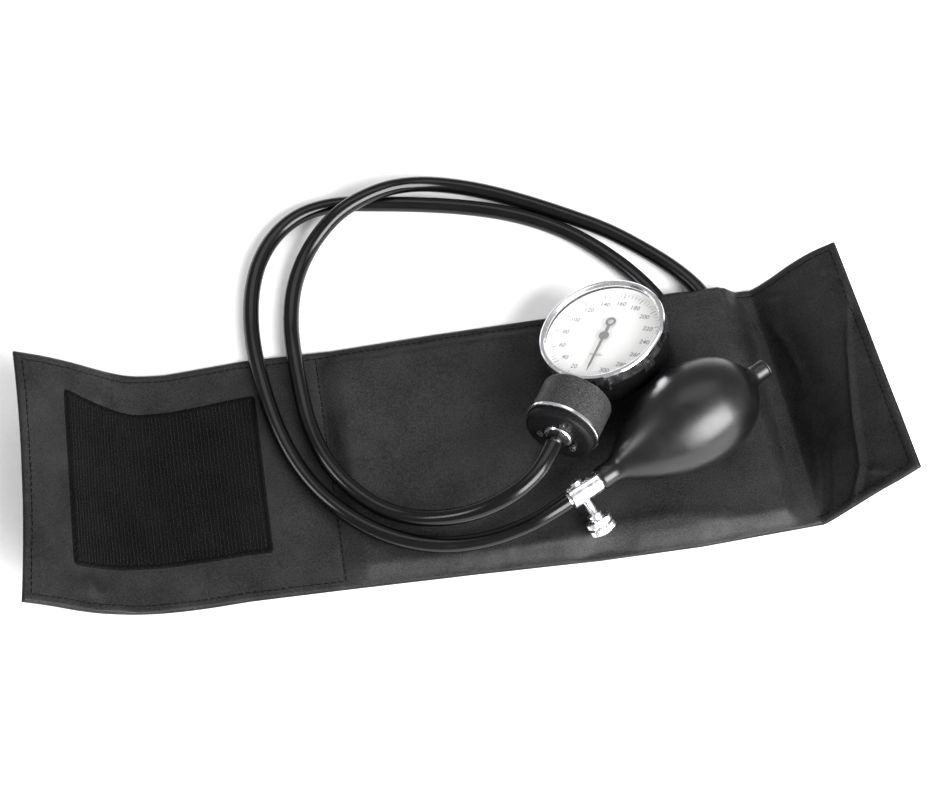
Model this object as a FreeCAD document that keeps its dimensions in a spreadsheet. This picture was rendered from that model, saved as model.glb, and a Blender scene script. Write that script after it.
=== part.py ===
import FreeCAD, Part
import Sketcher
import math
import os
import re

# Aneroid upper arm blood pressure monitor, laid out open: cuff, gauge, bulb, air release valve
# and two rubber tubes. Millimetres, +Z up, origin under the middle of the cuff.
#
# Turned pieces are drawn as (radius, height) profiles and revolved about the Z axis of the piece.
# Each group of pieces stands in one of these frames:
#   gauge  Z out of the dial, Y towards 12 o'clock, origin on the front of the bezel
#   drum   Z out of the end cap, origin on the dial's axis
#   bulb   Z from the valve towards the intake end, X along the thumb screw, origin at mid bulb
#   stem   Z out along the thumb screw, origin on the bulb's axis

Vector = FreeCAD.Vector

SIZES = {
    # cuff, from below: loop patch, outer panel, bladder, inner panel, hook patch
    "cuff_width": 132.0, "panel_thick": 0.9, "loop_thick": 0.9, "hook_thick": 1.6,
    "flat_left": 150.0, "flat_right": 171.0,
    "curl_radius": 45.0, "curl_angle": 50.0, "curl_tail": 42.0,
    "fold_radius": 8.0, "fold_angle": 52.0, "flap_tail": 62.0,
    "pocket_left": 60.0, "pocket_right": 162.0, "pocket_ramp": 8.0, "pocket_top": 7.0,
    "pocket_hem": 5.0, "bladder_low": 1.8, "bladder_thick": 3.4, "bladder_near": 56.0,
    "bladder_far": 40.0,
    "hook_right": 96.0, "hook_width": 89.0, "hook_tail": 17.0,
    "loop_left": 53.0, "loop_right": 155.0, "loop_width": 112.0,
    "hump_left": 108.0, "hump_right": 162.0, "hump_depth": 38.0, "hump_height": 11.3,
    "hump_wall": 0.9, "hump_side": 8.0,
    # tubes
    "tube_diameter": 8.2, "nozzle_plate": 3.0,
    # gauge case, bezel, lens and dial
    "case_radius": 31.2, "case_back_radius": 29.4, "case_depth": 24.0, "case_rim": 4.4,
    "case_wall": 1.2, "case_corner": 5.0, "case_back_edge": 24.4,
    "bezel_radius": 32.2, "bezel_opening": 29.2, "bezel_skirt": 7.0, "bezel_lip": 2.0,
    "tab_width": 6.5, "tab_end": 10.4, "tab_thick": 0.7,
    "lens_thick": 2.2, "dial_radius": 29.6, "dial_face": 6.9, "dial_thick": 0.5,
    # movement
    "floor_level": 22.8, "base_radius": 23.0, "base_thick": 1.4, "bridge_level": 7.45,
    "bridge_radius": 19.0, "bridge_thick": 0.95, "pillar_radius": 1.6, "pillar_circle": 16.5,
    "staff_radius": 0.6, "pinion_radius": 1.6, "hand_length": 23.0, "hand_level": 5.7,
    "hand_thick": 0.35, "sector_radius": 19.53, "sector_level": 11.3, "sector_thick": 0.8,
    "sector_x": -4.1, "sector_y": -20.8, "sector_start": 46.0, "sector_sweep": 36.0,
    "arbor_radius": 0.7, "bearing_gap": 0.05,
    # drum with the pressure capsule
    "drum_depth": 9.5, "drum_radius": 18.0, "drum_start": 36.0, "drum_end": 55.6,
    "cap_face": 61.0, "cap_radius": 17.6, "ring_radius": 18.9, "rod_radius": 0.8,
    "rod_hole": 1.4, "rod_start": 21.75, "capsule_top": 45.0, "nipple_end": 66.6,
    "cap_screw_circle": 10.0, "neck_width": 18.0, "neck_low": 14.6, "neck_high": 7.3,
    # bulb and valve, heights along the bulb's axis
    "bulb_radius": 25.9, "bulb_wall": 2.6, "mouth": -54.9, "mouth_radius": 5.4,
    "nub_radius": 4.9, "nub_start": 36.0, "nub_end": 44.5, "spigot_radius": 3.4,
    "valve_radius": 5.4, "valve_left": -72.1, "barb_end": -73.4, "barb_radius": 3.0,
    "air_bore": 1.3, "chamber_radius": 2.4, "chamber_start": -52.0, "spigot_end": -46.0,
    "stem_height": -65.8, "stem_radius": 2.4, "needle_radius": 1.42, "needle_bore": 1.5,
    "stem_gap": 0.08, "knob_radius": 6.75, "knob_groove": 5.5,
}

doc = FreeCAD.newDocument("BloodPressureMonitor")
sheet = doc.addObject("Spreadsheet::Sheet", "Sizes")
for row, (alias, size) in enumerate(SIZES.items(), start=1):
    sheet.set(f"A{row}", alias)
    sheet.set(f"B{row}", str(size))
    sheet.setAlias(f"B{row}", alias)
doc.recompute()


def mm(alias):
    """A size from the sheet, for what is placed or built without an expression."""
    return float(sheet.get(alias))


# where each group stands: position, then yaw, pitch and roll
GAUGE = FreeCAD.Placement(Vector(78.6, 36.6, 41.6), FreeCAD.Rotation(-30.5, -24.1, -7.2))
BULB = FreeCAD.Placement(Vector(114.8, -14.4, 33.3), FreeCAD.Rotation(-61.0, 31.8, -81.7))
DRUM = GAUGE * FreeCAD.Placement(Vector(0, 0, -mm("drum_depth")), FreeCAD.Rotation(0, 0, 90))
STEM = BULB * FreeCAD.Placement(Vector(0, 0, mm("stem_height")),
                                FreeCAD.Rotation(Vector(0, 0, 1), Vector(0, -1, 0),
                                                 Vector(1, 0, 0), "ZXY"))
CUFF = FreeCAD.Placement()

parts = []


def bound(text):
    """The text with every size's name turned into a reference to its cell."""
    return re.sub(r"[a-z]\w*", lambda m: "Sizes." + m[0] if m[0] in SIZES else m[0], str(text))


def keep(piece, label, frame):
    """Names a finished piece and stands it in its frame."""
    piece.Label = label
    piece.Placement = frame * piece.Placement
    parts.append(piece)
    return piece


def new_body(label):
    return doc.addObject("PartDesign::Body", label)


def sketch_on(body, role):
    plane = next(f for f in body.Origin.OriginFeatures if f.Role == role)
    sketch = body.newObject("Sketcher::SketchObject", "Sketch")
    sketch.AttachmentSupport = [(plane, "")]
    sketch.MapMode = "FlatFace"
    return sketch


def fix(sketch, kind, spot, text):
    """Ties a coordinate of a point, or a radius, to its expression."""
    index = sketch.addConstraint(Sketcher.Constraint(kind, *spot, 1.0))
    sketch.setExpression(f"Constraints[{index}]", bound(text))


def polygon(body, role, corners):
    """A closed outline whose corners are pairs of expressions."""
    sketch = sketch_on(body, role)
    count = len(corners)
    turn = 2 * math.pi / count
    start = [Vector(10 * math.cos(turn * i), 10 * math.sin(turn * i), 0) for i in range(count)]
    for i in range(count):
        sketch.addGeometry(Part.LineSegment(start[i], start[(i + 1) % count]))
    for i in range(count):
        sketch.addConstraint(Sketcher.Constraint("Coincident", i, 2, (i + 1) % count, 1))
    for i, (across, up) in enumerate(corners):
        fix(sketch, "DistanceX", (-1, 1, i, 1), across)
        fix(sketch, "DistanceY", (-1, 1, i, 1), up)
    return sketch


def circles(body, role, spots, radius):
    """Circles of one radius centred on pairs of expressions."""
    sketch = sketch_on(body, role)
    for i, (across, up) in enumerate(spots):
        sketch.addGeometry(Part.Circle(Vector(i, i, 0), Vector(0, 0, 1), 1))
        fix(sketch, "DistanceX", (-1, 1, i, 3), across)
        fix(sketch, "DistanceY", (-1, 1, i, 3), up)
        fix(sketch, "Radius", (i,), radius)
    return sketch


def feature(body, kind, sketch, **settings):
    """A pad, pocket, revolution or groove; text settings become expressions."""
    made = body.newObject("PartDesign::" + kind, kind)
    made.Profile = sketch
    for name, setting in settings.items():
        if isinstance(setting, str):
            made.setExpression(name, bound(setting))
        else:
            setattr(made, name, setting)
    return made


def revolved(body, kind, corners):
    sketch = polygon(body, "XZ_Plane", corners)
    return feature(body, kind, sketch, ReferenceAxis=(sketch, ["V_Axis"]), Angle=360)


def turned(label, corners, frame):
    """A turned piece from its (radius, height) profile."""
    body = new_body(label)
    revolved(body, "Revolution", corners)
    return keep(body, label, frame)


def repeat(body, base, count, axis_role="Z_Axis"):
    pattern = body.newObject("PartDesign::PolarPattern", "Pattern")
    pattern.Originals = [base]
    axis = next(f for f in body.Origin.OriginFeatures if f.Role == axis_role)
    pattern.Axis = (axis, [""])
    pattern.Angle = 360
    pattern.Occurrences = count
    body.Tip = pattern
    return pattern


def edge_at(shape, x, z):
    """The edge along Y that passes nearest to (x, z)."""
    def miss(edge):
        middle = edge.CenterOfMass
        along_y = abs(edge.tangentAt(edge.FirstParameter).y) if edge.Curve.TypeId == "Part::GeomLine" else 0
        return math.hypot(middle.x - x, middle.z - z) + (0 if along_y > 0.99 else 1e6)
    edges = list(shape.Edges)
    return "Edge%d" % (1 + min(range(len(edges)), key=lambda i: miss(edges[i])))


# ---- cuff ---------------------------------------------------------------------------------------

def curl_corner(height):
    """Expression pairs for the bend and the raised end of the left curl, at a height."""
    inner = f"(curl_radius - {height})"
    bend = (f"-flat_left - {inner} * tan(curl_angle / 2)", f"{height}")
    end = (f"-flat_left - {inner} * sin(curl_angle) - curl_tail * cos(curl_angle)",
           f"curl_radius - {inner} * cos(curl_angle) + curl_tail * sin(curl_angle)")
    return bend, end


def fold_corner(height):
    """The same for the flap, right of its fold."""
    inner = f"(fold_radius - {height})"
    bend = (f"flat_right + {inner} * tan(fold_angle / 2)", f"{height}")
    end = (f"flat_right + {inner} * sin(fold_angle) + flap_tail * cos(fold_angle)",
           f"fold_radius - {inner} * cos(fold_angle) + flap_tail * sin(fold_angle)")
    return bend, end


def round_bend(body, left, height, radius_text):
    """Rounds the bend of a curl or fold at one height."""
    doc.recompute()
    size = mm("curl_radius") if left else mm("fold_radius")
    angle = math.radians(mm("curl_angle") if left else mm("fold_angle"))
    reach = (size - height) * math.tan(angle / 2)
    x = -mm("flat_left") - reach if left else mm("flat_right") + reach
    base = body.Tip
    fillet = body.newObject("PartDesign::Fillet", "Bend")
    fillet.Base = (base, [edge_at(base.Shape, x, height)])
    fillet.setExpression("Radius", bound(radius_text))


def round_all_bends(body, low, high):
    """Both bends of a panel, on its lower and its upper face."""
    for height in (low, high):
        round_bend(body, True, height, f"curl_radius - {height}")
        round_bend(body, False, height, f"fold_radius - {height}")


def outer_panel():
    """The nylon panel that faces the table; the loop patch fills its shallow step."""
    low_bend, low_end = curl_corner("0")
    low_fold, low_flap = fold_corner("0")
    high_bend, high_end = curl_corner("panel_thick")
    high_fold, high_flap = fold_corner("panel_thick")
    step = [("-pocket_left", "0"), ("-loop_left", "loop_thick"),
            ("loop_right", "loop_thick"), ("pocket_right", "0")]
    raised = [(x, f"{y} + panel_thick") for x, y in reversed(step)]
    body = new_body("cuff_outer_panel")
    corners = [low_end, low_bend, *step, low_fold, low_flap,
               high_flap, high_fold, *raised, high_bend, high_end]
    feature(body, "Pad", polygon(body, "XZ_Plane", corners), Midplane=True, Length="cuff_width")
    round_all_bends(body, 0.0, mm("panel_thick"))
    return keep(body, "cuff_outer_panel", CUFF)


def inner_panel():
    """The nylon panel with the pocket for the bladder and the hump over the two tubes."""
    low, high = "panel_thick", "2 * panel_thick"
    low_bend, low_end = curl_corner(low)
    low_fold, low_flap = fold_corner(low)
    high_bend, high_end = curl_corner(high)
    high_fold, high_flap = fold_corner(high)
    seam = [("-pocket_left", low), ("-loop_left", "bladder_low"),
            ("loop_right", "bladder_low"), ("pocket_right", low)]
    top = [("pocket_right", high), ("pocket_right - pocket_ramp", "pocket_top"),
           ("-pocket_left + pocket_ramp", "pocket_top"), ("-pocket_left", high)]
    body = new_body("cuff_inner_panel")
    corners = [low_end, low_bend, *seam, low_fold, low_flap,
               high_flap, high_fold, *top, high_bend, high_end]
    feature(body, "Pad", polygon(body, "XZ_Plane", corners), Midplane=True, Length="cuff_width")
    round_all_bends(body, mm("panel_thick"), 2 * mm("panel_thick"))
    for side in (-1, 1):
        hem = polygon(body, "YZ_Plane", [
            (f"{side} * (cuff_width / 2 - pocket_hem)", "pocket_top"),
            (f"{side} * cuff_width / 2", "2 * panel_thick"), (f"{side} * cuff_width / 2", "20"),
            (f"{side} * (cuff_width / 2 - pocket_hem)", "20")])
        hem.AttachmentOffset = FreeCAD.Placement(Vector(0, 0, -mm("pocket_left")),
                                                 FreeCAD.Rotation())
        feature(body, "Pocket", hem, Length="pocket_left + pocket_right", Reversed=True)
        doc.recompute()
    hump = [("hump_left - hump_side", "pocket_top - 1"), ("hump_left", "hump_height"),
            ("hump_right - hump_side", "hump_height"), ("hump_right - 2", "2 * panel_thick"),
            ("hump_left - hump_side", "2 * panel_thick")]
    sketch = polygon(body, "XZ_Plane", hump)
    sketch.AttachmentOffset = FreeCAD.Placement(Vector(0, 0, -mm("cuff_width") / 2),
                                                FreeCAD.Rotation())
    feature(body, "Pad", sketch, Length="hump_depth")
    cavity = [("-pocket_left + pocket_ramp + 1", "bladder_low"),
              ("loop_right - 1", "bladder_low"), ("loop_right - 1", "pocket_top - 1.2"),
              ("-pocket_left + pocket_ramp + 1", "pocket_top - 1.2")]
    sketch = polygon(body, "XZ_Plane", cavity)
    sketch.AttachmentOffset = FreeCAD.Placement(Vector(0, 0, 58), FreeCAD.Rotation())
    feature(body, "Pocket", sketch, Length="58 + bladder_far + 2")
    tunnel = [("hump_left + 1", "bladder_low - 1"), ("hump_right - hump_side - 1", "bladder_low - 1"),
              ("hump_right - hump_side - 1", "hump_height - hump_wall"),
              ("hump_left + 1", "hump_height - hump_wall")]
    sketch = polygon(body, "XZ_Plane", tunnel)
    sketch.AttachmentOffset = FreeCAD.Placement(Vector(0, 0, -mm("cuff_width") / 2 + 36),
                                                FreeCAD.Rotation())
    feature(body, "Pocket", sketch, Length="50")
    return keep(body, "cuff_inner_panel", CUFF)


def bladder():
    """The flat rubber bag inside the cuff."""
    low, high = "bladder_low", "bladder_low + bladder_thick"
    left, right = "-pocket_left + pocket_ramp + 2", "loop_right - 3"
    body = new_body("bladder")
    corners = [(f"{left} + 2", low), (f"{right} - 2", low), (right, f"{low} + bladder_thick / 2"),
               (f"{right} - 2", high), (f"{left} + 2", high), (left, f"{low} + bladder_thick / 2")]
    sketch = polygon(body, "XZ_Plane", corners)
    sketch.AttachmentOffset = FreeCAD.Placement(Vector(0, 0, -mm("bladder_far")),
                                                FreeCAD.Rotation())
    feature(body, "Pad", sketch, Length="bladder_near + bladder_far")
    return keep(body, "bladder", CUFF)


def hook_patch():
    """The patch of hooks on the inner panel; it follows the curl at the cuff's left end."""
    low = 2 * mm("panel_thick")
    high = low + mm("hook_thick")
    outline = []
    for text, height in (("2 * panel_thick", low), ("(2 * panel_thick + hook_thick)", high)):
        inner = f"(curl_radius - {text})"
        bend = (f"-flat_left - {inner} * tan(curl_angle / 2)", text)
        end = (f"-flat_left - {inner} * sin(curl_angle) - hook_tail * cos(curl_angle)",
               f"curl_radius - {inner} * cos(curl_angle) + hook_tail * sin(curl_angle)")
        outline.append([end, bend, ("-hook_right", text)])
    body = new_body("hook_patch")
    sketch = polygon(body, "XZ_Plane", outline[0] + outline[1][::-1])
    feature(body, "Pad", sketch, Midplane=True, Length="hook_width")
    round_bend(body, True, low, "curl_radius - 2 * panel_thick")
    round_bend(body, True, high, "curl_radius - 2 * panel_thick - hook_thick")
    return keep(body, "hook_patch", CUFF)


def loop_patch():
    """The patch of loops under the cuff, which the hooks grip when the cuff is wrapped."""
    piece = doc.addObject("Part::Box", "loop_patch")
    piece.setExpression("Length", bound("loop_left + loop_right"))
    piece.setExpression("Width", bound("loop_width"))
    piece.setExpression("Height", bound("loop_thick"))
    piece.Placement.Base = Vector(-mm("loop_left"), -mm("loop_width") / 2, 0)
    return keep(piece, "loop_patch", CUFF)


# ---- tubes --------------------------------------------------------------------------------------

def drum_point(height):
    return DRUM.multVec(Vector(0, 0, height))


def bulb_point(height):
    return BULB.multVec(Vector(0, 0, height))


GAUGE_ROUTE = [
    (28.2, -40, 40.5), (15.8, -44.6, 36.4), (2.6, -45.8, 29.6), (-11, -43.4, 21.6),
    (-25.8, -38.6, 14.8), (-41.5, -30, 11.8), (-55, -16.5, 11.4), (-65.5, 1.5, 10.2),
    (-71.2, 24, 7.2), (-73, 48, 6.5), (-73.6, 66.5, 6.2), (-73, 84, 4.5), (-69.5, 102, 4.3),
    (-62.5, 118, 4.7), (-52, 131.2, 7.6), (-38, 141.2, 12.9), (-17, 149.6, 12.9),
    (2, 153.6, 7.4), (21.5, 150.8, 4.7), (41, 143.6, 4.4), (60.6, 133.8, 4.3),
    (79.5, 123, 4.3), (98, 111.6, 4.4), (114.5, 97.5, 4.4), (128.5, 83.2, 5),
    (138.6, 68.6, 6), (144, 52.5, 6.15), (145.2, 43, 6.15),
]
BULB_ROUTE = [
    (27, -52.4, 19.2), (14.6, -53.9, 14.6), (0.5, -54.4, 12), (-15, -53.2, 11.4),
    (-31, -48.6, 11.4), (-46.5, -40.4, 11.6), (-60.5, -28, 10.9), (-72.5, -12, 7.8),
    (-82, 7.5, 6.5), (-88.2, 29, 6.4), (-91.6, 50.5, 6.4), (-93.4, 68, 5.9), (-93.4, 86, 4.5),
    (-91, 104, 4.3), (-85.2, 121.5, 4.3), (-74.5, 136.6, 4.3), (-60, 146.4, 4.3),
    (-41, 149.4, 4.3), (-20.5, 146.2, 4.3), (1.5, 142.4, 4.3), (23.5, 137.6, 4.3),
    (44.5, 131.2, 4.3), (62.5, 123, 4.3), (78.6, 112.6, 4.3), (93, 99.6, 4.3),
    (105.5, 84.8, 5), (115.4, 68.6, 6), (121, 52.5, 6.15), (122.3, 43, 6.15),
]
FIRST_RUN = 12.0


def rounded_path(points, name):
    """Straight runs joined by tangent arcs, each as large as its two runs allow."""
    edges = []
    start = points[0]
    radii = []
    for before, corner, after in zip(points, points[1:], points[2:]):
        come, go = corner - before, after - corner
        half_turn = come.getAngle(go) / 2
        cut = 0.45 * min(come.Length, go.Length)
        radius = cut / math.tan(half_turn)
        radii.append(radius)
        come.normalize()
        go.normalize()
        enter, leave = corner - come * cut, corner + go * cut
        inward = go - come
        inward.normalize()
        centre = corner + inward * (radius / math.cos(half_turn))
        middle = centre - inward * radius
        edges.append(Part.LineSegment(start, enter).toShape())
        edges.append(Part.Arc(enter, middle, leave).toShape())
        start = leave
    edges.append(Part.LineSegment(start, points[-1]).toShape())
    smallest = min(radii)
    print(name, "smallest radius %.1f, in diameters %.1f"
          % (smallest, smallest / mm("tube_diameter")))
    return Part.Wire(edges)


def tube(label, points):
    """A rubber tube along its route, checked against its section times its length."""
    path = rounded_path(points, label)
    direction = points[1] - points[0]
    radius = mm("tube_diameter") / 2
    section = Part.Wire(Part.Circle(points[0], direction, radius).toShape())
    piece = doc.addObject("Part::Feature", label)
    piece.Shape = path.makePipeShell([section], True, False)
    expected = math.pi * radius ** 2 * path.Length
    print(label, "length %.1f, volume share %.4f" % (path.Length, piece.Shape.Volume / expected))
    return keep(piece, label, CUFF)


def gauge_route():
    start = drum_point(mm("nipple_end"))
    return [start, drum_point(mm("nipple_end") + FIRST_RUN), *map(Vector, GAUGE_ROUTE)]


def bulb_route():
    start = bulb_point(mm("barb_end"))
    return [start, bulb_point(mm("barb_end") - FIRST_RUN), *map(Vector, BULB_ROUTE)]


def port_nozzle(label, route):
    """The moulded rubber port: a plate on the bladder and the spigot that a tube is bonded to."""
    end = route[-1]
    direction = (end - route[-2]).normalize()
    spigot = doc.addObject("Part::Cylinder", label + "_spigot")
    spigot.setExpression("Radius", bound("tube_diameter / 2 - 1"))
    # from the tube's end, just clear of the bladder's far edge
    spigot.Height = (end.y - mm("bladder_far")) / -direction.y - 0.5
    spigot.Placement = FreeCAD.Placement(end, FreeCAD.Rotation(Vector(0, 0, 1), direction))
    plate = doc.addObject("Part::Box", label + "_plate")
    plate.Length, plate.Width, plate.Height = 12.0, 10.0, 1.0
    plate.Placement.Base = Vector(end.x - 6, 31.5, mm("bladder_low") + mm("bladder_thick") + 0.02)
    piece = doc.addObject("Part::MultiFuse", label)
    piece.Shapes = [spigot, plate]
    return keep(piece, label, CUFF)


# ---- gauge --------------------------------------------------------------------------------------

def dial_case():
    """The deep metal cup, with a hole at 6 o'clock for the push rod and three screw holes."""
    body = new_body("dial_case")
    revolved(body, "Revolution", [
        ("0", "-case_depth"), ("case_back_edge", "-case_depth"),
        ("case_back_radius - 0.9", "-case_depth + 1.7"), ("case_back_radius", "-case_depth + 5"),
        ("case_radius", "-case_rim - 4"), ("case_radius", "-case_rim"),
        ("case_radius - case_wall", "-case_rim"), ("case_radius - case_wall", "-case_rim - 4"),
        ("case_back_radius - 1.2", "-floor_level + 4"),
        ("case_back_radius - 2.2", "-floor_level + 1"), ("case_back_edge - 0.8", "-floor_level"),
        ("0", "-floor_level")])
    holes = circles(body, "XY_Plane", PILLARS, "0.9")
    feature(body, "Pocket", holes, Length=60, Midplane=True)
    doc.recompute()
    rod_hole = circles(body, "XZ_Plane", [("0", "-drum_depth")], "rod_hole")
    feature(body, "Pocket", rod_hole, Length=40, Reversed=True)
    return keep(body, "dial_case", GAUGE)


PILLARS = [("pillar_circle * cos(%d)" % a, "pillar_circle * sin(%d)" % a) for a in (30, 150, 305)]


def bezel_ring():
    """The chrome bezel with tabs bent down over the side of the case."""
    body = new_body("bezel_ring")
    revolved(body, "Revolution", [
        ("bezel_opening", "-1.2"), ("bezel_opening + 0.7", "-0.2"), ("bezel_opening + 1.4", "0"),
        ("bezel_radius - 1", "0"), ("bezel_radius - 0.3", "-0.4"), ("bezel_radius", "-1.2"),
        ("bezel_radius", "-bezel_skirt"), ("case_radius + 0.15", "-bezel_skirt"),
        ("case_radius + 0.15", "-bezel_lip"), ("bezel_opening", "-bezel_lip")])
    tab = polygon(body, "XZ_Plane", [
        ("case_radius + 0.15", "-bezel_skirt + 0.5"),
        ("case_radius + 0.15 + tab_thick", "-bezel_skirt + 0.5"),
        ("case_radius + 0.15 + tab_thick", "-tab_end"), ("case_radius + 0.15", "-tab_end")])
    pad = feature(body, "Pad", tab, Midplane=True, Length="tab_width")
    doc.recompute()
    repeat(body, pad, 8)
    turned_half = FreeCAD.Placement(Vector(), FreeCAD.Rotation(22.5, 0, 0))
    return keep(body, "bezel_ring", GAUGE * turned_half)


def lens():
    return turned("lens", [
        ("0", "-bezel_lip - 0.1 - lens_thick + 0.1"),
        ("case_radius", "-bezel_lip - 0.1 - lens_thick + 0.1"),
        ("case_radius", "-bezel_lip - 0.1"), ("0", "-bezel_lip - 0.1")], GAUGE)


def dial_plate():
    return turned("dial_plate", [
        ("staff_radius + 0.3", "-dial_face - dial_thick"), ("dial_radius", "-dial_face - dial_thick"),
        ("dial_radius", "-dial_face"), ("staff_radius + 0.3", "-dial_face")], GAUGE)


def movement_base():
    """The brass plate on the case's floor, with the pillars that carry the bridge."""
    body = new_body("movement_base")
    disc = circles(body, "XY_Plane", [("0", "0")], "base_radius")
    disc.AttachmentOffset = FreeCAD.Placement(Vector(0, 0, -mm("floor_level")), FreeCAD.Rotation())
    feature(body, "Pad", disc, Length="base_thick")
    doc.recompute()
    posts = circles(body, "XY_Plane", PILLARS, "pillar_radius")
    posts.AttachmentOffset = disc.AttachmentOffset
    feature(body, "Pad", posts, Length="floor_level - bridge_level - bridge_thick")
    doc.recompute()
    threads = circles(body, "XY_Plane", PILLARS, "0.9")
    threads.AttachmentOffset = disc.AttachmentOffset
    feature(body, "Pocket", threads, Length=5, Reversed=True)
    doc.recompute()
    bearings = circles(body, "XY_Plane", [("0", "0")], "staff_radius + bearing_gap")
    feature(body, "Pocket", bearings, Length=60, Midplane=True)
    doc.recompute()
    bearings = circles(body, "XY_Plane", [("sector_x", "sector_y")], "arbor_radius + bearing_gap")
    feature(body, "Pocket", bearings, Length=60, Midplane=True)
    return keep(body, "movement_base", GAUGE)


def movement_bridge():
    """The upper brass plate, under the dial."""
    body = new_body("movement_bridge")
    disc = circles(body, "XY_Plane", [("0", "-3.2")], "bridge_radius")
    disc.AttachmentOffset = FreeCAD.Placement(
        Vector(0, 0, -mm("bridge_level") - mm("bridge_thick")), FreeCAD.Rotation())
    feature(body, "Pad", disc, Length="bridge_thick")
    doc.recompute()
    bearings = circles(body, "XY_Plane", [("0", "0")], "staff_radius + bearing_gap")
    feature(body, "Pocket", bearings, Length=60, Midplane=True)
    doc.recompute()
    bearings = circles(body, "XY_Plane", [("sector_x", "sector_y")], "arbor_radius + bearing_gap")
    feature(body, "Pocket", bearings, Length=60, Midplane=True)
    return keep(body, "movement_bridge", GAUGE)


def case_screws():
    """Three screws through the back of the case into the pillars."""
    body = new_body("case_screws")
    heads = circles(body, "XY_Plane", PILLARS, "2.1")
    heads.AttachmentOffset = FreeCAD.Placement(Vector(0, 0, -mm("case_depth") - 0.8), FreeCAD.Rotation())
    feature(body, "Pad", heads, Length=0.8, AllowMultiFace=True)
    doc.recompute()
    shanks = circles(body, "XY_Plane", PILLARS, "0.9")
    shanks.AttachmentOffset = heads.AttachmentOffset
    feature(body, "Pad", shanks, Length=5.4)
    return keep(body, "case_screws", GAUGE)


def disc_stack(label, discs, frame):
    """A turned piece made of coaxial discs, each (radius, from, to) in expressions."""
    corners = [("0", discs[0][1])]
    for radius, low, high in discs:
        corners += [(radius, low), (radius, high)]
    corners.append(("0", discs[-1][2]))
    return turned(label, corners, frame)


def pointer_staff():
    return disc_stack("pointer_staff", [
        ("staff_radius", "-floor_level + 0.2", "-sector_level - 0.2"),
        ("pinion_radius", "-sector_level - 0.2", "-sector_level + sector_thick + 0.2"),
        ("staff_radius", "-sector_level + sector_thick + 0.2", "-hand_level + hand_thick + 0.4")], GAUGE)


def pointer_hand():
    """The hand at zero, towards 6 o'clock, with its hub and ring-shaped counterweight."""
    body = new_body("pointer_hand")
    blade = polygon(body, "XY_Plane", [
        ("-0.75", "0"), ("0.75", "0"), ("0.55", "-hand_length + 4"), ("0", "-hand_length"),
        ("-0.55", "-hand_length + 4")])
    level = FreeCAD.Placement(Vector(0, 0, -mm("hand_level")), FreeCAD.Rotation())
    blade.AttachmentOffset = level
    feature(body, "Pad", blade, Length="hand_thick")
    doc.recompute()
    for spot, radius in (("0", "2.6"), ("9", "2.7")):
        disc = circles(body, "XY_Plane", [("0", spot)], radius)
        disc.AttachmentOffset = level
        feature(body, "Pad", disc, Length="hand_thick")
        doc.recompute()
    tail = polygon(body, "XY_Plane", [("-0.7", "0"), ("0.7", "0"), ("0.9", "8"), ("-0.9", "8")])
    tail.AttachmentOffset = level
    feature(body, "Pad", tail, Length="hand_thick")
    doc.recompute()
    ring = circles(body, "XY_Plane", [("0", "9")], "1.5")
    feature(body, "Pocket", ring, Length=40, Midplane=True)
    doc.recompute()
    bore = circles(body, "XY_Plane", [("0", "0")], "staff_radius")
    feature(body, "Pocket", bore, Length=40, Midplane=True)
    return keep(body, "pointer_hand", GAUGE)


def sector_gear():
    """The quadrant that drives the pinion, with the short arm that the push rod lifts."""
    blade = doc.addObject("Part::Cylinder", "sector_blade")
    blade.setExpression("Radius", bound("sector_radius"))
    blade.setExpression("Height", bound("sector_thick"))
    blade.setExpression("Angle", bound("sector_sweep"))
    blade.Placement = FreeCAD.Placement(Vector(0, 0, -mm("sector_level")),
                                        FreeCAD.Rotation(mm("sector_start"), 0, 0))
    hub = doc.addObject("Part::Cylinder", "sector_hub")
    hub.Radius = 2.0
    hub.setExpression("Height", bound("sector_level - drum_depth + 0.8"))
    hub.Placement.Base = Vector(0, 0, -mm("sector_level"))
    arm = doc.addObject("Part::Box", "sector_arm")
    arm.Length, arm.Width = 6.0, 1.6
    arm.setExpression("Height", bound("sector_level - drum_depth + 0.8"))
    arm.Placement.Base = Vector(0, -0.8, -mm("sector_level"))
    joined = doc.addObject("Part::MultiFuse", "sector_solid")
    joined.Shapes = [blade, hub, arm]
    bore = doc.addObject("Part::Cylinder", "sector_bore")
    bore.setExpression("Radius", bound("arbor_radius"))
    bore.Height = 40.0
    bore.Placement.Base = Vector(0, 0, -30)
    gear = doc.addObject("Part::Cut", "sector_gear")
    gear.Base, gear.Tool = joined, bore
    pivot = FreeCAD.Placement(Vector(mm("sector_x"), mm("sector_y"), 0), FreeCAD.Rotation())
    return keep(gear, "sector_gear", GAUGE * pivot)


def sector_arbor():
    pivot = FreeCAD.Placement(Vector(mm("sector_x"), mm("sector_y"), 0), FreeCAD.Rotation())
    return disc_stack("sector_arbor", [
        ("arbor_radius", "-floor_level + 0.2", "-bridge_level - 0.1")], GAUGE * pivot)


def hairspring():
    """The flat spiral that takes up backlash, between the staff and the base plate."""
    turns, inner, growth = 4, 1.3, 0.85
    level = -14.6
    steps = 48
    points = []
    for step in range(turns * steps // 4 + 1):
        angle = 2 * math.pi * step * 4 / steps
        radius = inner + growth * angle / (2 * math.pi)
        points.append(Vector(radius * math.cos(angle), radius * math.sin(angle), level))
    curve = Part.BSplineCurve()
    curve.interpolate(points)
    strip = curve.toShape().extrude(Vector(0, 0, 0.5))
    piece = doc.addObject("Part::Feature", "hairspring")
    piece.Shape = strip.makeOffsetShape(0.12, 0.001, fill=True)
    return keep(piece, "hairspring", GAUGE)


# ---- drum ---------------------------------------------------------------------------------------

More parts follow.
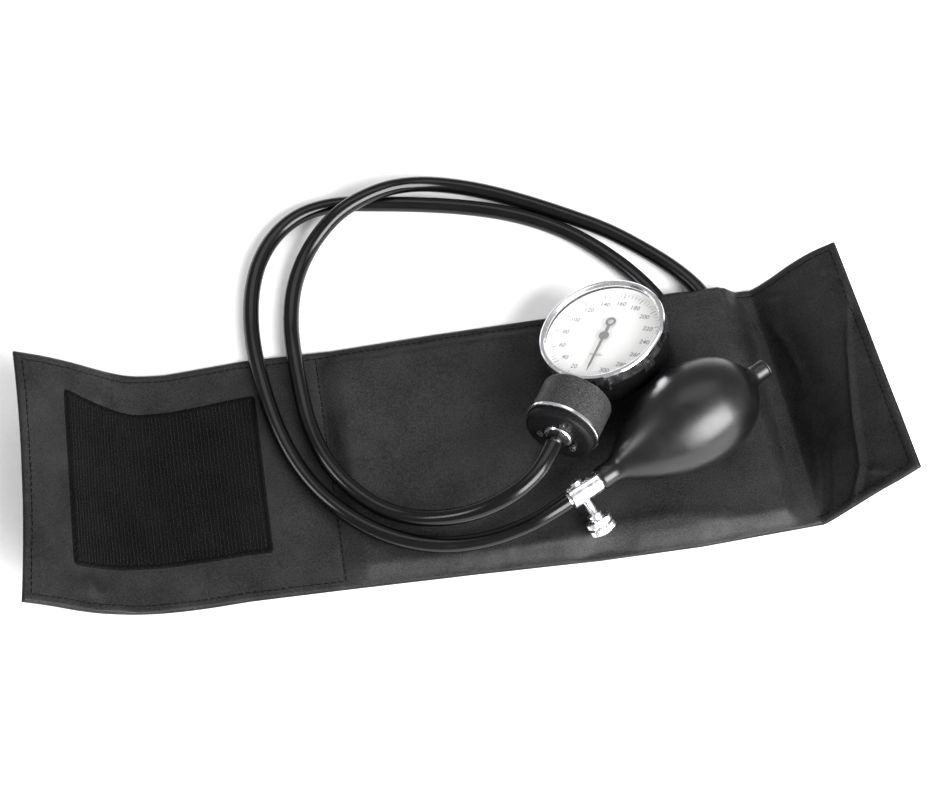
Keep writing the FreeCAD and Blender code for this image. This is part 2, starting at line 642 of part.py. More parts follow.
def neck_block():
    """The short block that joins the drum to the case, bored for the push rod."""
    block = doc.addObject("Part::Box", "neck_solid")
    block.setExpression("Length", bound("neck_width"))
    block.setExpression("Width", bound("neck_low - neck_high"))
    block.setExpression("Height", bound("drum_start - 25"))
    block.Placement.Base = Vector(-mm("neck_width") / 2, mm("drum_depth") - mm("neck_low"), 25)
    hole = doc.addObject("Part::Cylinder", "neck_hole")
    hole.setExpression("Radius", bound("rod_hole"))
    hole.Height = 80.0
    case = doc.addObject("Part::Cone", "neck_seat")
    # the tapered side of the case, standing along the drum frame's Y axis
    case.Radius1, case.Radius2 = case_side(20.0), case_side(8.4)
    case.Height = 20.0 - 8.4
    case.Placement = FreeCAD.Placement(Vector(0, mm("drum_depth") - 20.0, 0),
                                       FreeCAD.Rotation(Vector(0, 0, 1), Vector(0, 1, 0)))
    rim = doc.addObject("Part::Cylinder", "neck_rim")
    rim.Radius, rim.Height = mm("case_radius"), 4.0
    rim.Placement = FreeCAD.Placement(Vector(0, mm("drum_depth") - 8.4, 0),
                                      FreeCAD.Rotation(Vector(0, 0, 1), Vector(0, 1, 0)))
    tools = doc.addObject("Part::MultiFuse", "neck_tools")
    tools.Shapes = [hole, case, rim]
    piece = doc.addObject("Part::Cut", "neck_block")
    piece.Base, piece.Tool = block, tools
    return keep(piece, "neck_block", DRUM)


def case_side(depth):
    """Outer radius of the case at a depth behind the bezel's front."""
    top = mm("case_rim") + 4
    low = mm("case_depth") - 5
    share = (depth - top) / (low - top)
    return mm("case_radius") + share * (mm("case_back_radius") - mm("case_radius"))


def drum_housing():
    return turned("drum_housing", [
        ("rod_hole", "drum_start"), ("drum_radius - 1.4", "drum_start"),
        ("drum_radius - 0.4", "drum_start + 0.4"), ("drum_radius", "drum_start + 1.4"),
        ("drum_radius", "drum_end"), ("drum_radius - 1.2", "drum_end"),
        ("drum_radius - 1.2", "drum_start + 1.5"), ("rod_hole", "drum_start + 1.5")], DRUM)


def drum_ring():
    """The chrome ring that clamps the end cap to the drum."""
    return turned("drum_ring", [
        ("drum_radius + 0.05", "drum_end - 1.6"), ("ring_radius - 0.2", "drum_end - 1.6"),
        ("ring_radius", "drum_end - 1.3"), ("ring_radius", "drum_end + 1.8"),
        ("ring_radius - 0.3", "drum_end + 2.2"), ("cap_radius + 0.1", "drum_end + 2.2"),
        ("cap_radius + 0.1", "drum_end + 1.45"), ("drum_radius + 0.05", "drum_end + 1.45")], DRUM)


def cap_gasket():
    return turned("cap_gasket", [
        ("drum_radius - 2.6", "drum_end"), ("drum_radius", "drum_end"),
        ("drum_radius", "drum_end + 0.6"), ("drum_radius - 2.6", "drum_end + 0.6")], DRUM)


def drum_end_cap():
    """The black end cap, with a shallow dish round the nipple and three screw holes."""
    body = new_body("drum_end_cap")
    revolved(body, "Revolution", [
        ("2.9", "drum_end + 0.6"), ("drum_radius", "drum_end + 0.6"),
        ("drum_radius", "drum_end + 1.4"), ("cap_radius", "drum_end + 1.4"),
        ("cap_radius", "cap_face - 1.6"), ("cap_radius - 0.5", "cap_face - 0.5"),
        ("cap_radius - 1.7", "cap_face"), ("8.4", "cap_face"), ("8", "cap_face - 0.6"),
        ("2.9", "cap_face - 0.6")])
    holes = circles(body, "XY_Plane", CAP_SCREWS, "1")
    feature(body, "Pocket", holes, Length=140, Midplane=True)
    return keep(body, "drum_end_cap", DRUM)


CAP_SCREWS = [("cap_screw_circle * cos(%d)" % a, "cap_screw_circle * sin(%d)" % a)
              for a in (60, 180, 300)]


def end_cap_screws():
    body = new_body("end_cap_screws")
    heads = circles(body, "XY_Plane", CAP_SCREWS, "1.7")
    heads.AttachmentOffset = FreeCAD.Placement(Vector(0, 0, mm("cap_face")), FreeCAD.Rotation())
    feature(body, "Pad", heads, Length=0.7)
    doc.recompute()
    shanks = circles(body, "XY_Plane", CAP_SCREWS, "1")
    shanks.AttachmentOffset = FreeCAD.Placement(Vector(0, 0, mm("cap_face") - 4), FreeCAD.Rotation())
    feature(body, "Pad", shanks, Length=4.2)
    return keep(body, "end_cap_screws", DRUM)


def nipple():
    """The chrome nipple: shank through the cap, flange outside, spigot that the tube meets."""
    return disc_stack("nipple", [
        ("2.9", "drum_end - 1.4", "cap_face - 0.6"), ("7.2", "cap_face - 0.6", "cap_face + 0.3"),
        ("6.4", "cap_face + 0.3", "cap_face + 1"), ("3", "cap_face + 1", "nipple_end")], DRUM)


def nipple_nut():
    """The hexagonal nut that holds the nipple."""
    body = new_body("nipple_nut")
    side = "5.4 * cos(%d)", "5.4 * sin(%d)"
    corners = [(side[0] % a, side[1] % a) for a in range(0, 360, 60)]
    sketch = polygon(body, "XY_Plane", corners)
    level = FreeCAD.Placement(Vector(0, 0, mm("cap_face") + 1), FreeCAD.Rotation())
    sketch.AttachmentOffset = level
    feature(body, "Pad", sketch, Length=2.6)
    doc.recompute()
    bore = circles(body, "XY_Plane", [("0", "0")], "3")
    feature(body, "Pocket", bore, Length=200, Midplane=True)
    return keep(body, "nipple_nut", DRUM)


def capsule():
    """The corrugated pressure capsule, standing on the end of the nipple's shank."""
    ridges = []
    for ridge in range(3):
        radius = 6 + 3 * ridge
        ridges += [(f"{radius}", "capsule_top + 1.2"), (f"{radius} + 1.5", "capsule_top + 1.9")]
    return turned("capsule", [
        ("0", "capsule_top"), ("3", "capsule_top"), ("4", "capsule_top + 1.9"), *ridges,
        ("14.5", "capsule_top + 3.4"), ("14.5", "capsule_top + 4.2"), ("12", "capsule_top + 5.4"),
        ("9", "capsule_top + 4.8"), ("6", "capsule_top + 5.6"), ("3.2", "capsule_top + 6"),
        ("2.9", "drum_end - 1.4"), ("0", "drum_end - 1.4")], DRUM)


def push_rod():
    """The rod from the capsule to the sector's arm, with a pointed tip and a wide foot."""
    return turned("push_rod", [
        ("0", "rod_start"), ("0.15", "rod_start"), ("rod_radius", "rod_start + 2"),
        ("rod_radius", "capsule_top - 0.9"), ("2.4", "capsule_top - 0.9"),
        ("2.4", "capsule_top - 0.1"), ("0", "capsule_top - 0.1")], DRUM)


# ---- bulb and valve -----------------------------------------------------------------------------

BULB_PROFILE = [(-51, 4.9), (-46, 5.9), (-40, 9.2), (-33, 13.8), (-25, 18.6), (-15, 23.1),
                (-5, 25.5), (3, 25.9), (12, 24.8), (20, 22), (27, 17.6), (32, 12), (35, 7)]


def bulb_shell():
    """The hollow rubber bulb: an open mouth over the valve and a nub round the intake."""
    mouth, nub_end = mm("mouth"), mm("nub_end")

    def side(offset, first, last):
        points = [Vector(radius - offset, 0, height) for height, radius in BULB_PROFILE]
        curve = Part.BSplineCurve()
        curve.interpolate([first, *points, last])
        return curve.toShape()

    wall = mm("bulb_wall")
    outer_mouth = Vector(mm("mouth_radius"), 0, mouth)
    outer_nub = Vector(mm("nub_radius"), 0, mm("nub_start") + 1)
    inner = [(-44, mm("spigot_radius"))]
    inner += [(height, radius - wall) for height, radius in BULB_PROFILE[2:-1]]
    inner_curve = Part.BSplineCurve()
    inner_curve.interpolate([Vector(r, 0, h) for h, r in inner]
                            + [Vector(3.2, 0, mm("nub_start") - 1)])
    corners = [Vector(mm("nub_radius"), 0, nub_end), Vector(3.2, 0, nub_end)]
    edges = [side(0, outer_mouth, outer_nub),
             Part.LineSegment(outer_nub, corners[0]).toShape(),
             Part.LineSegment(corners[0], corners[1]).toShape(),
             Part.LineSegment(corners[1], inner_curve.EndPoint).toShape(),
             inner_curve.toShape(),
             Part.LineSegment(inner_curve.StartPoint, Vector(mm("spigot_radius"), 0, mouth)).toShape(),
             Part.LineSegment(Vector(mm("spigot_radius"), 0, mouth), outer_mouth).toShape()]
    face = Part.Face(Part.Wire(Part.__sortEdges__(edges)))
    piece = doc.addObject("Part::Feature", "bulb_shell")
    piece.Shape = face.revolve(Vector(), Vector(0, 0, 1), 360)
    return keep(piece, "bulb_shell", BULB)


def intake_insert():
    """The bored metal insert in the bulb's nub."""
    return turned("intake_insert", [
        ("1.2", "nub_start"), ("3.2", "nub_start"), ("3.2", "nub_end"), ("3.8", "nub_end"),
        ("3.8", "nub_end + 0.8"), ("1.2", "nub_end + 0.8")], BULB)


def flap_disc(label, height):
    """A small rubber disc that lifts off its seat to let air by."""
    return disc_stack(label, [("2.1", height, f"{height} + 0.8")], BULB)


def valve_body():
    """The chrome valve: bored along its length, with a socket across it for the thumb screw."""
    body = new_body("valve_body")
    revolved(body, "Revolution", [
        ("air_bore", "barb_end"), ("barb_radius", "barb_end"), ("barb_radius", "valve_left"),
        ("valve_radius - 0.3", "valve_left"), ("valve_radius", "valve_left + 0.3"),
        ("valve_radius", "mouth - 0.5"), ("valve_radius - 0.4", "mouth"),
        ("spigot_radius", "mouth"), ("spigot_radius", "spigot_end"),
        ("chamber_radius", "spigot_end"), ("chamber_radius", "chamber_start"),
        ("air_bore", "chamber_start")])
    socket = circles(body, "YZ_Plane", [("0", "stem_height")], "stem_radius + stem_gap")
    socket.AttachmentOffset = FreeCAD.Placement(Vector(0, 0, 2.6), FreeCAD.Rotation())
    feature(body, "Pocket", socket, Length=10, Reversed=True)
    doc.recompute()
    bore = circles(body, "YZ_Plane", [("0", "stem_height")], "needle_bore")
    feature(body, "Pocket", bore, Length=10, Reversed=True)
    doc.recompute()
    plug = circles(body, "YZ_Plane", [("0", "stem_height")], "3")
    plug.AttachmentOffset = FreeCAD.Placement(Vector(0, 0, -4.2), FreeCAD.Rotation())
    feature(body, "Pocket", plug, Length=10)
    return keep(body, "valve_body", BULB)


def seat_plug():
    return disc_stack("seat_plug", [("3", "-6.3", "-4.2")], STEM)


def outlet_seat():
    return turned("outlet_seat", [
        ("0.9", "spigot_end - 1"), ("chamber_radius", "spigot_end - 1"),
        ("chamber_radius", "spigot_end"), ("0.9", "spigot_end")], BULB)


def stem_seal():
    return turned("stem_seal", [
        ("needle_bore", "2.6"), ("stem_radius + stem_gap", "2.6"), ("stem_radius + stem_gap", "3"),
        ("needle_bore", "3")], STEM)


def valve_needle():
    """The steel needle that shuts the bleed path; it travels with the thumb screw."""
    return turned("valve_needle", [
        ("0", "0.7"), ("0.3", "0.7"), ("needle_radius", "2.1"), ("needle_radius", "3.04"),
        ("0", "3.04")], STEM)


def release_knob():
    """The thumb screw: stem, collar and a knurled head of two flanges with a groove between."""
    body = new_body("release_knob")
    revolved(body, "Revolution", [
        ("0", "3.05"), ("stem_radius", "3.05"), ("stem_radius", "12.4"), ("4.05", "12.4"),
        ("4.05", "15.4"), ("knob_radius - 0.4", "15.4"), ("knob_radius", "15.8"),
        ("knob_radius", "18"), ("knob_radius - 0.3", "18.3"), ("knob_groove", "18.3"),
        ("knob_groove", "19.4"), ("knob_radius - 0.3", "19.4"), ("knob_radius", "19.7"),
        ("knob_radius", "22"), ("knob_radius - 0.7", "22.7"), ("3.4", "23.2"), ("0", "23.3")])
    doc.recompute()
    notch = polygon(body, "XY_Plane", [
        ("knob_radius - 0.35", "0"), ("knob_radius + 0.4", "-0.45"), ("knob_radius + 0.4", "0.45")])
    notch.AttachmentOffset = FreeCAD.Placement(Vector(0, 0, 15), FreeCAD.Rotation())
    cut = feature(body, "Pocket", notch, Length=9, Reversed=True)
    doc.recompute()
    repeat(body, cut, 32)
    return keep(body, "release_knob", STEM)


# ---- build, test and write ----------------------------------------------------------------------

outer_panel()
inner_panel()
bladder()
hook_patch()
loop_patch()
tube("gauge_tube", gauge_route())
tube("bulb_tube", bulb_route())
port_nozzle("gauge_port_nozzle", gauge_route())
port_nozzle("bulb_port_nozzle", bulb_route())
for build in (dial_case, bezel_ring, lens, dial_plate, movement_base, movement_bridge, case_screws,
              pointer_staff, pointer_hand, sector_gear, sector_arbor, hairspring,
              neck_block, drum_housing, drum_ring, cap_gasket, drum_end_cap, end_cap_screws,
              nipple, nipple_nut, capsule, push_rod,
              bulb_shell, intake_insert, valve_body, seat_plug, outlet_seat, stem_seal,
              valve_needle, release_knob):
    build()
flap_disc("intake_disc", "nub_start - 0.9")
flap_disc("outlet_disc", "spigot_end - 1.9")
doc.recompute()

broken = [f"{item.Name} {item.State}" for item in doc.Objects
          if "Invalid" in item.State or "Error" in item.State]
if broken:
    raise RuntimeError(f"not built: {broken}")
os.makedirs("parts", exist_ok=True)
for piece in parts:
    shape = piece.Shape
    if shape.isNull() or not shape.isValid():
        raise RuntimeError("bad shape: " + piece.Label)
    shape.exportStep(f"parts/{piece.Label}.step")
    print("%-20s solids %d volume %.1f" % (piece.Label, len(shape.Solids), shape.Volume))
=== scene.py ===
"""Aneroid upper arm blood pressure monitor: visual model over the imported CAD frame."""
import bpy
import math
import numpy as np
from mathutils import Euler, Matrix, Vector


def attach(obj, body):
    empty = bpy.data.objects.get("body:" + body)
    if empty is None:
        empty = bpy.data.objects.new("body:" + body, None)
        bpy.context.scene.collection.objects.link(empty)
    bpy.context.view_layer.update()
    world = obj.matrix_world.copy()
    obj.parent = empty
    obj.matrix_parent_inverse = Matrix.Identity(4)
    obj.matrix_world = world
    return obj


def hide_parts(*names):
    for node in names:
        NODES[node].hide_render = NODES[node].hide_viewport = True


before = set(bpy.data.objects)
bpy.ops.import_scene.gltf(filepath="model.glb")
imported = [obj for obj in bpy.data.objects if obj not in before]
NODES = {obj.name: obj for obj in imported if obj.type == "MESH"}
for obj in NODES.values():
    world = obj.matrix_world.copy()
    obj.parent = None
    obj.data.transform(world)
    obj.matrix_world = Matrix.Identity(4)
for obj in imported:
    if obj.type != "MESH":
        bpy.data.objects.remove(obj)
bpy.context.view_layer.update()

MM = 0.001
ROOT = "cuff_and_gauge"


def placed(position, yaw, pitch, roll):
    """A group's frame in metres, from its place in mm and its angles in degrees."""
    turn = Euler((math.radians(roll), math.radians(pitch), math.radians(yaw)), "XYZ")
    return Matrix.Translation(Vector(position) * MM) @ turn.to_matrix().to_4x4()


# the frames the CAD pieces stand in: dial, capsule drum and bulb
GAUGE = placed((78.6, 36.6, 41.6), -30.5, -24.1, -7.2)
DRUM = GAUGE @ Matrix.Translation((0, 0, -9.5 * MM)) @ Matrix.Rotation(math.radians(90), 4, "X")
BULB = placed((114.8, -14.4, 33.3), -61.0, 31.8, -81.7)


# ---- helpers ------------------------------------------------------------------------------------

def link(obj, body=ROOT):
    bpy.context.scene.collection.objects.link(obj)
    if body:
        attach(obj, body)
    return obj


def mesh_object(name, points, faces, material, body=ROOT, uv=None):
    """A smooth mesh from points in millimetres; uv holds one pair for each point."""
    mesh = bpy.data.meshes.new(name)
    mesh.from_pydata((np.asarray(points, float) * MM).tolist(), [], faces)
    mesh.materials.append(material)
    mesh.polygons.foreach_set("use_smooth", [True] * len(mesh.polygons))
    if uv is not None:
        layer = mesh.uv_layers.new(name="cloth")
        corners = np.empty(len(mesh.loops), dtype=np.int64)
        mesh.loops.foreach_get("vertex_index", corners)
        layer.data.foreach_set("uv", np.asarray(uv, float)[corners].ravel())
    mesh.update()
    return link(bpy.data.objects.new(name, mesh), body)


def grid_faces(rows, columns, wrap=False):
    """Quads over a grid of points stored row by row; wrap joins the last column to the first."""
    faces = []
    for i in range(rows - 1):
        for j in range(columns if wrap else columns - 1):
            k = (j + 1) % columns
            faces.append((i * columns + j, i * columns + k, (i + 1) * columns + k,
                          (i + 1) * columns + j))
    return faces


def cloth_faces(rows, columns):
    """The same quads turned to face up, for a grid that runs along x and then y."""
    return [face[::-1] for face in grid_faces(rows, columns)]


def smooth_noise(x, y, size, seed):
    """Noise from -1 to 1 whose humps are about size apart."""
    lattice = np.random.default_rng(seed).uniform(-1, 1, (64, 64))
    u, v = x / size + 30, y / size + 30
    i, j = np.floor(u).astype(int), np.floor(v).astype(int)
    a, b = u - i, v - j
    a, b = a * a * (3 - 2 * a), b * b * (3 - 2 * b)

    def at(p, q):
        return lattice[(i + p) % 64, (j + q) % 64]
    return ((at(0, 0) * (1 - a) + at(1, 0) * a) * (1 - b)
            + (at(0, 1) * (1 - a) + at(1, 1) * a) * b)


def step(low, high, x):
    """0 below low, 1 above high, smooth between."""
    t = np.clip((x - low) / (high - low), 0, 1)
    return t * t * (3 - 2 * t)


def bell(x, width):
    return np.exp(-(x / width) ** 2)


# ---- materials ----------------------------------------------------------------------------------

def shader(name, colour, roughness, **sockets):
    """A material whose constants sit on the Principled shader's own sockets."""
    material = bpy.data.materials.new(name)
    material.use_nodes = True
    main = material.node_tree.nodes["Principled BSDF"]
    main.inputs["Base Color"].default_value = (*colour, 1)
    main.inputs["Roughness"].default_value = roughness
    for socket, setting in sockets.items():
        main.inputs[socket.replace("_", " ")].default_value = setting
    return material


class Build:
    """Adds nodes to one material."""

    def __init__(self, material):
        self.tree = material.node_tree
        self.main = self.tree.nodes["Principled BSDF"]

    def node(self, kind, inputs=(), **settings):
        made = self.tree.nodes.new(kind)
        for name, setting in settings.items():
            setattr(made, name, setting)
        for socket, source in dict(inputs).items():
            if hasattr(source, "is_output"):
                self.tree.links.new(source, made.inputs[socket])
            else:
                made.inputs[socket].default_value = source
        return made

    def coords(self, kind="Object"):
        return self.node("ShaderNodeTexCoord").outputs[kind]

    def noise(self, where, scale, detail=3, rough=0.55):
        return self.node("ShaderNodeTexNoise", {"Vector": where, "Scale": scale, "Detail": detail,
                                                "Roughness": rough}).outputs["Fac"]

    def colour(self, value, dark, light, start=0.3, end=0.7):
        ramp = self.node("ShaderNodeValToRGB", {"Fac": value})
        for element, place, tone in zip(ramp.color_ramp.elements, (start, end), (dark, light)):
            element.position = place
            element.color = (*tone, 1)
        self.tree.links.new(ramp.outputs["Color"], self.main.inputs["Base Color"])

    def roughness(self, value, low, high):
        spread = self.node("ShaderNodeMapRange", {"Value": value, "From Min": 0.3, "From Max": 0.7,
                                                  "To Min": low, "To Max": high})
        self.tree.links.new(spread.outputs["Result"], self.main.inputs["Roughness"])

    def bump(self, height, distance, strength=1.0, onto=None):
        bump = self.node("ShaderNodeBump", {"Height": height, "Distance": distance,
                                            "Strength": strength})
        if onto is not None:
            self.tree.links.new(onto, bump.inputs["Normal"])
        self.tree.links.new(bump.outputs["Normal"], self.main.inputs["Normal"])
        return bump.outputs["Normal"]


def grey(level):
    return (level, level, level * 1.03)


def woven(name, dark, light, roughness, sheen, ior, thread=0.42, depth=0.00006):
    """Plain-woven cloth: crossed threads on the cloth's own coordinates, with soft mottling."""
    material = shader(name, grey(light), roughness, Sheen_Weight=sheen, Sheen_Roughness=0.35,
                      IOR=ior)
    build = Build(material)
    cloth, place = build.coords("UV"), build.coords()
    threads = []
    for direction in ("X", "Y"):
        wave = build.node("ShaderNodeTexWave", {"Vector": cloth, "Scale": math.pi / 10 / thread,
                                                "Distortion": 0.6, "Detail": 1.0},
                          bands_direction=direction)
        threads.append(wave.outputs["Fac"])
    weave = build.node("ShaderNodeMath", {0: threads[0], 1: threads[1]}, operation="MAXIMUM")
    mottle = build.node("ShaderNodeMath", {0: build.noise(place, 45, 4, 0.5), 1: 0.4,
                                           2: build.noise(place, 1500, 2, 0.7)},
                        operation="MULTIPLY_ADD")
    build.colour(mottle.outputs["Value"], grey(dark), grey(light), 0.55, 0.85)
    build.roughness(build.noise(place, 140, 3), roughness - 0.06, roughness + 0.07)
    creases = build.bump(build.noise(place, 260, 3, 0.5), 0.0002, 0.35)
    build.bump(weave.outputs["Value"], depth, 0.55, creases)
    return material


def rubber(name, level, roughness, grain, depth, ior=1.5):
    material = shader(name, grey(level), roughness, IOR=ior)
    build = Build(material)
    place = build.coords()
    build.colour(build.noise(place, 60, 3), grey(level * 0.75), grey(level * 1.3))
    build.roughness(build.noise(place, 90, 4), roughness - 0.05, roughness + 0.06)
    build.bump(build.noise(place, grain, 4, 0.6), depth, 0.4)
    return material


def plated(name, level, roughness, marks):
    """Bright chrome plate with faint polishing marks and a few duller spots."""
    material = shader(name, grey(level), roughness, Metallic=1.0)
    build = Build(material)
    place = build.coords()
    build.colour(build.noise(place, 120, 3), grey(level * 0.86), grey(level))
    build.roughness(build.noise(place, 400, 4), roughness * 0.6, roughness * 1.9)
    build.bump(build.noise(place, 900, 2), 0.00001, marks)
    return material


def wrinkle_enamel(name, dark, light, ior):
    """Black wrinkle-finish enamel: a fine crackle on the gauge's metal."""
    material = shader(name, grey(0.02), 0.42, IOR=ior)
    build = Build(material)
    place = build.coords()
    cells = build.node("ShaderNodeTexVoronoi", {"Vector": place, "Scale": 1900.0,
                                                "Randomness": 1.0},
                       feature="F1").outputs["Distance"]
    build.colour(build.noise(place, 1500, 3, 0.7), grey(dark), grey(light), 0.42, 0.68)
    build.roughness(build.noise(place, 300, 3), 0.36, 0.5)
    grain = build.bump(build.noise(place, 1300, 4, 0.7), 0.00022, 0.75)
    build.bump(cells, 0.00012, 0.5, grain)
    return material


def turned_metal(name, colour, roughness):
    material = shader(name, colour, roughness, Metallic=1.0)
    build = Build(material)
    place = build.coords()
    build.colour(build.noise(place, 200, 3), [c * 0.85 for c in colour], colour)
    build.roughness(build.noise(place, 700, 3), roughness - 0.06, roughness + 0.1)
    return material


def enamel(name, colour, roughness):
    material = shader(name, colour, roughness)
    build = Build(material)
    place = build.coords()
    build.colour(build.noise(place, 300, 2), [c * 0.97 for c in colour], colour)
    build.roughness(build.noise(place, 500, 2), roughness - 0.04, roughness + 0.04)
    return material


def clear_lens():
    """The clear crystal over the dial: see-through, with the gloss of polished acrylic."""
    material = shader("clear_crystal", (0.97, 0.98, 0.98), 0.03, Alpha=0.06, Specular_IOR_Level=0.9,
                      Coat_Weight=1.0, Coat_Roughness=0.02)
    build = Build(material)
    build.roughness(build.noise(build.coords(), 200, 2), 0.02, 0.05)
    return material


def sewing_thread():
    material = shader("sewing_thread", grey(0.002), 0.6, IOR=1.15)
    build = Build(material)
    build.bump(build.noise(build.coords(), 3000, 2), 0.00003, 0.5)
    return material


def hook_thread():
    material = shader("hook_thread", grey(0.014), 0.4, IOR=1.45)
    build = Build(material)
    build.roughness(build.noise(build.coords(), 900, 2), 0.34, 0.5)
    return material


NYLON = woven("cuff_nylon", 0.005, 0.023, 0.42, 0.0, 1.26)
HOOK_BASE = woven("hook_tape", 0.002, 0.008, 0.8, 0.0, 1.1, 0.6)
HOOKS = hook_thread()
LOOPS = woven("loop_pile", 0.008, 0.016, 0.85, 0.4, 1.3, 0.9, 0.0003)
THREAD = sewing_thread()
TUBE = rubber("tube_rubber", 0.002, 0.2, 700, 0.00002, 1.38)
BULB_RUBBER = rubber("bulb_rubber", 0.003, 0.33, 900, 0.00002)
MATT_RUBBER = rubber("matt_rubber", 0.02, 0.6, 800, 0.00004)
CHROME = plated("chrome_plate", 0.92, 0.15, 0.1)
SATIN = plated("satin_chrome", 0.9, 0.2, 0.03)
ENAMEL = wrinkle_enamel("wrinkle_enamel", 0.010, 0.065, 1.35)
# a darker copy of the same black wrinkle paint: painted shade on the dial case, its neck block, the
# drum's end cap and the nipple nut
SHADED_ENAMEL = wrinkle_enamel("shaded_wrinkle_enamel", 0.002, 0.010, 1.22)
BRASS = turned_metal("brass", (0.72, 0.52, 0.25), 0.3)
BRONZE = turned_metal("spring_bronze", (0.6, 0.42, 0.24), 0.32)
STEEL = turned_metal("steel", (0.55, 0.55, 0.56), 0.28)
DIAL = enamel("dial_enamel", (0.94, 0.94, 0.93), 0.4)
POINTER = enamel("pointer_enamel", (0.16, 0.16, 0.16), 0.4)
INK = enamel("dial_ink", (0.22, 0.22, 0.23), 0.5)
FAINT_INK = enamel("faint_ink", (0.36, 0.36, 0.37), 0.5)
CRYSTAL = clear_lens()

CAD_MATERIALS = {
    # the darker enamel on the case parts is painted shade
    "dial_case": SHADED_ENAMEL, "neck_block": SHADED_ENAMEL, "drum_housing": ENAMEL,
    "drum_end_cap": SHADED_ENAMEL,
    "bezel_ring": CHROME, "nipple": SATIN, "nipple_nut": SHADED_ENAMEL,
    "intake_insert": MATT_RUBBER, "seat_plug": SATIN,
    "case_screws": STEEL, "end_cap_screws": STEEL, "pointer_staff": STEEL, "sector_arbor": STEEL,
    "push_rod": STEEL, "valve_needle": STEEL,
    "movement_base": BRASS, "movement_bridge": BRASS, "sector_gear": BRASS, "outlet_seat": BRASS,
    "hairspring": BRONZE, "capsule": BRONZE,
    "cap_gasket": MATT_RUBBER, "intake_disc": MATT_RUBBER, "outlet_disc": MATT_RUBBER,
    "stem_seal": MATT_RUBBER, "bladder": MATT_RUBBER, "gauge_port_nozzle": MATT_RUBBER,
    "bulb_port_nozzle": MATT_RUBBER,
    "lens": CRYSTAL, "dial_plate": DIAL, "pointer_hand": POINTER,
}
for node, material in CAD_MATERIALS.items():
    NODES[node].data.materials.clear()
    NODES[node].data.materials.append(material)


# ---- camera, floor and light --------------------------------------------------------------------

def aim(obj, target):
    direction = Vector(target) - obj.location
    obj.rotation_euler = direction.to_track_quat("-Z", "Y").to_euler()


LENS, SENSOR = 77.0, 36.0
CAMERA_AZIMUTH, CAMERA_ELEVATION, CAMERA_DISTANCE = -8.9, 65.0, 1.017
CAMERA_TARGET = (0.0105, 0.0272, 0)
FLOOR_REACH, FLOOR_DROP = 6.0, 0.0004
WORLD_STRENGTH = 0.42


def make_camera():
    data = bpy.data.cameras.new("camera")
    data.lens = LENS
    data.sensor_width = SENSOR
    data.clip_start = 0.05
    camera = bpy.data.objects.new("camera", data)
    bpy.context.scene.collection.objects.link(camera)
    azimuth, elevation = math.radians(CAMERA_AZIMUTH), math.radians(CAMERA_ELEVATION)
    target = Vector(CAMERA_TARGET)
    back = Vector((math.sin(azimuth) * math.cos(elevation),
                   -math.cos(azimuth) * math.cos(elevation), math.sin(elevation)))
    camera.location = target + back * CAMERA_DISTANCE
    aim(camera, target)
    bpy.context.scene.camera = camera


def area_light(name, place, target, size, power):
    data = bpy.data.lights.new(name, "AREA")
    data.shape = "RECTANGLE"
    data.size, data.size_y = size
    data.energy = power
    lamp = bpy.data.objects.new(name, data)
    bpy.context.scene.collection.objects.link(lamp)
    lamp.location = place
    aim(lamp, target)


def make_stage():
    floor = bpy.data.meshes.new("floor")
    signs = ((-1, -1), (1, -1), (1, 1), (-1, 1))
    corners = [(x * FLOOR_REACH, y * FLOOR_REACH, 0) for x, y in signs]
    floor.from_pydata(corners, [], [(0, 1, 2, 3)])
    floor.materials.append(enamel("white_paper", (0.93, 0.93, 0.93), 0.8))
    ground = bpy.data.objects.new("floor", floor)
    ground.location.z = -FLOOR_DROP
    bpy.context.scene.collection.objects.link(ground)
    world = bpy.data.worlds.new("studio")
    bpy.context.scene.world = world
    world.use_nodes = True
    background = world.node_tree.nodes["Background"]
    background.inputs["Color"].default_value = (1, 1, 1, 1)
    background.inputs["Strength"].default_value = WORLD_STRENGTH
    area_light("top_softbox", (0.14, 0.72, 1.5), (0.02, 0.05, 0), (1.5, 0.8), 6)
    area_light("key_softbox", (0.72, -0.86, 0.78), (0.11, 0, 0.03), (1.15, 1.0), 64)
    area_light("left_softbox", (-0.95, 0.03, 0.55), (0.05, 0, 0.02), (0.35, 0.35), 3.2)
    bpy.context.scene.view_settings.view_transform = "Standard"


make_camera()
make_stage()


# ---- tubes --------------------------------------------------------------------------------------

TUBE_DIAMETER = 8.2
# how far a tube runs straight, and where on the drum's and the bulb's axis the two tubes start
FIRST_RUN = 12.0
NIPPLE_START, BARREL_START = 66.6, -73.4
GAUGE_ROUTE = [
    (28.2, -40, 40.5), (15.8, -44.6, 36.4), (2.6, -45.8, 29.6), (-11, -43.4, 21.6),
    (-25.8, -38.6, 14.8), (-41.5, -30, 11.8), (-55, -16.5, 11.4), (-65.5, 1.5, 10.2),
    (-71.2, 24, 7.2), (-73, 48, 6.5), (-73.6, 66.5, 6.2), (-73, 84, 4.5), (-69.5, 102, 4.3),
    (-62.5, 118, 4.7), (-52, 131.2, 7.6), (-38, 141.2, 12.9), (-17, 149.6, 12.9),
    (2, 153.6, 7.4), (21.5, 150.8, 4.7), (41, 143.6, 4.4), (60.6, 133.8, 4.3),
    (79.5, 123, 4.3), (98, 111.6, 4.4), (114.5, 97.5, 4.4), (128.5, 83.2, 5),
    (138.6, 68.6, 6), (144, 52.5, 6.15), (145.2, 43, 6.15),
]
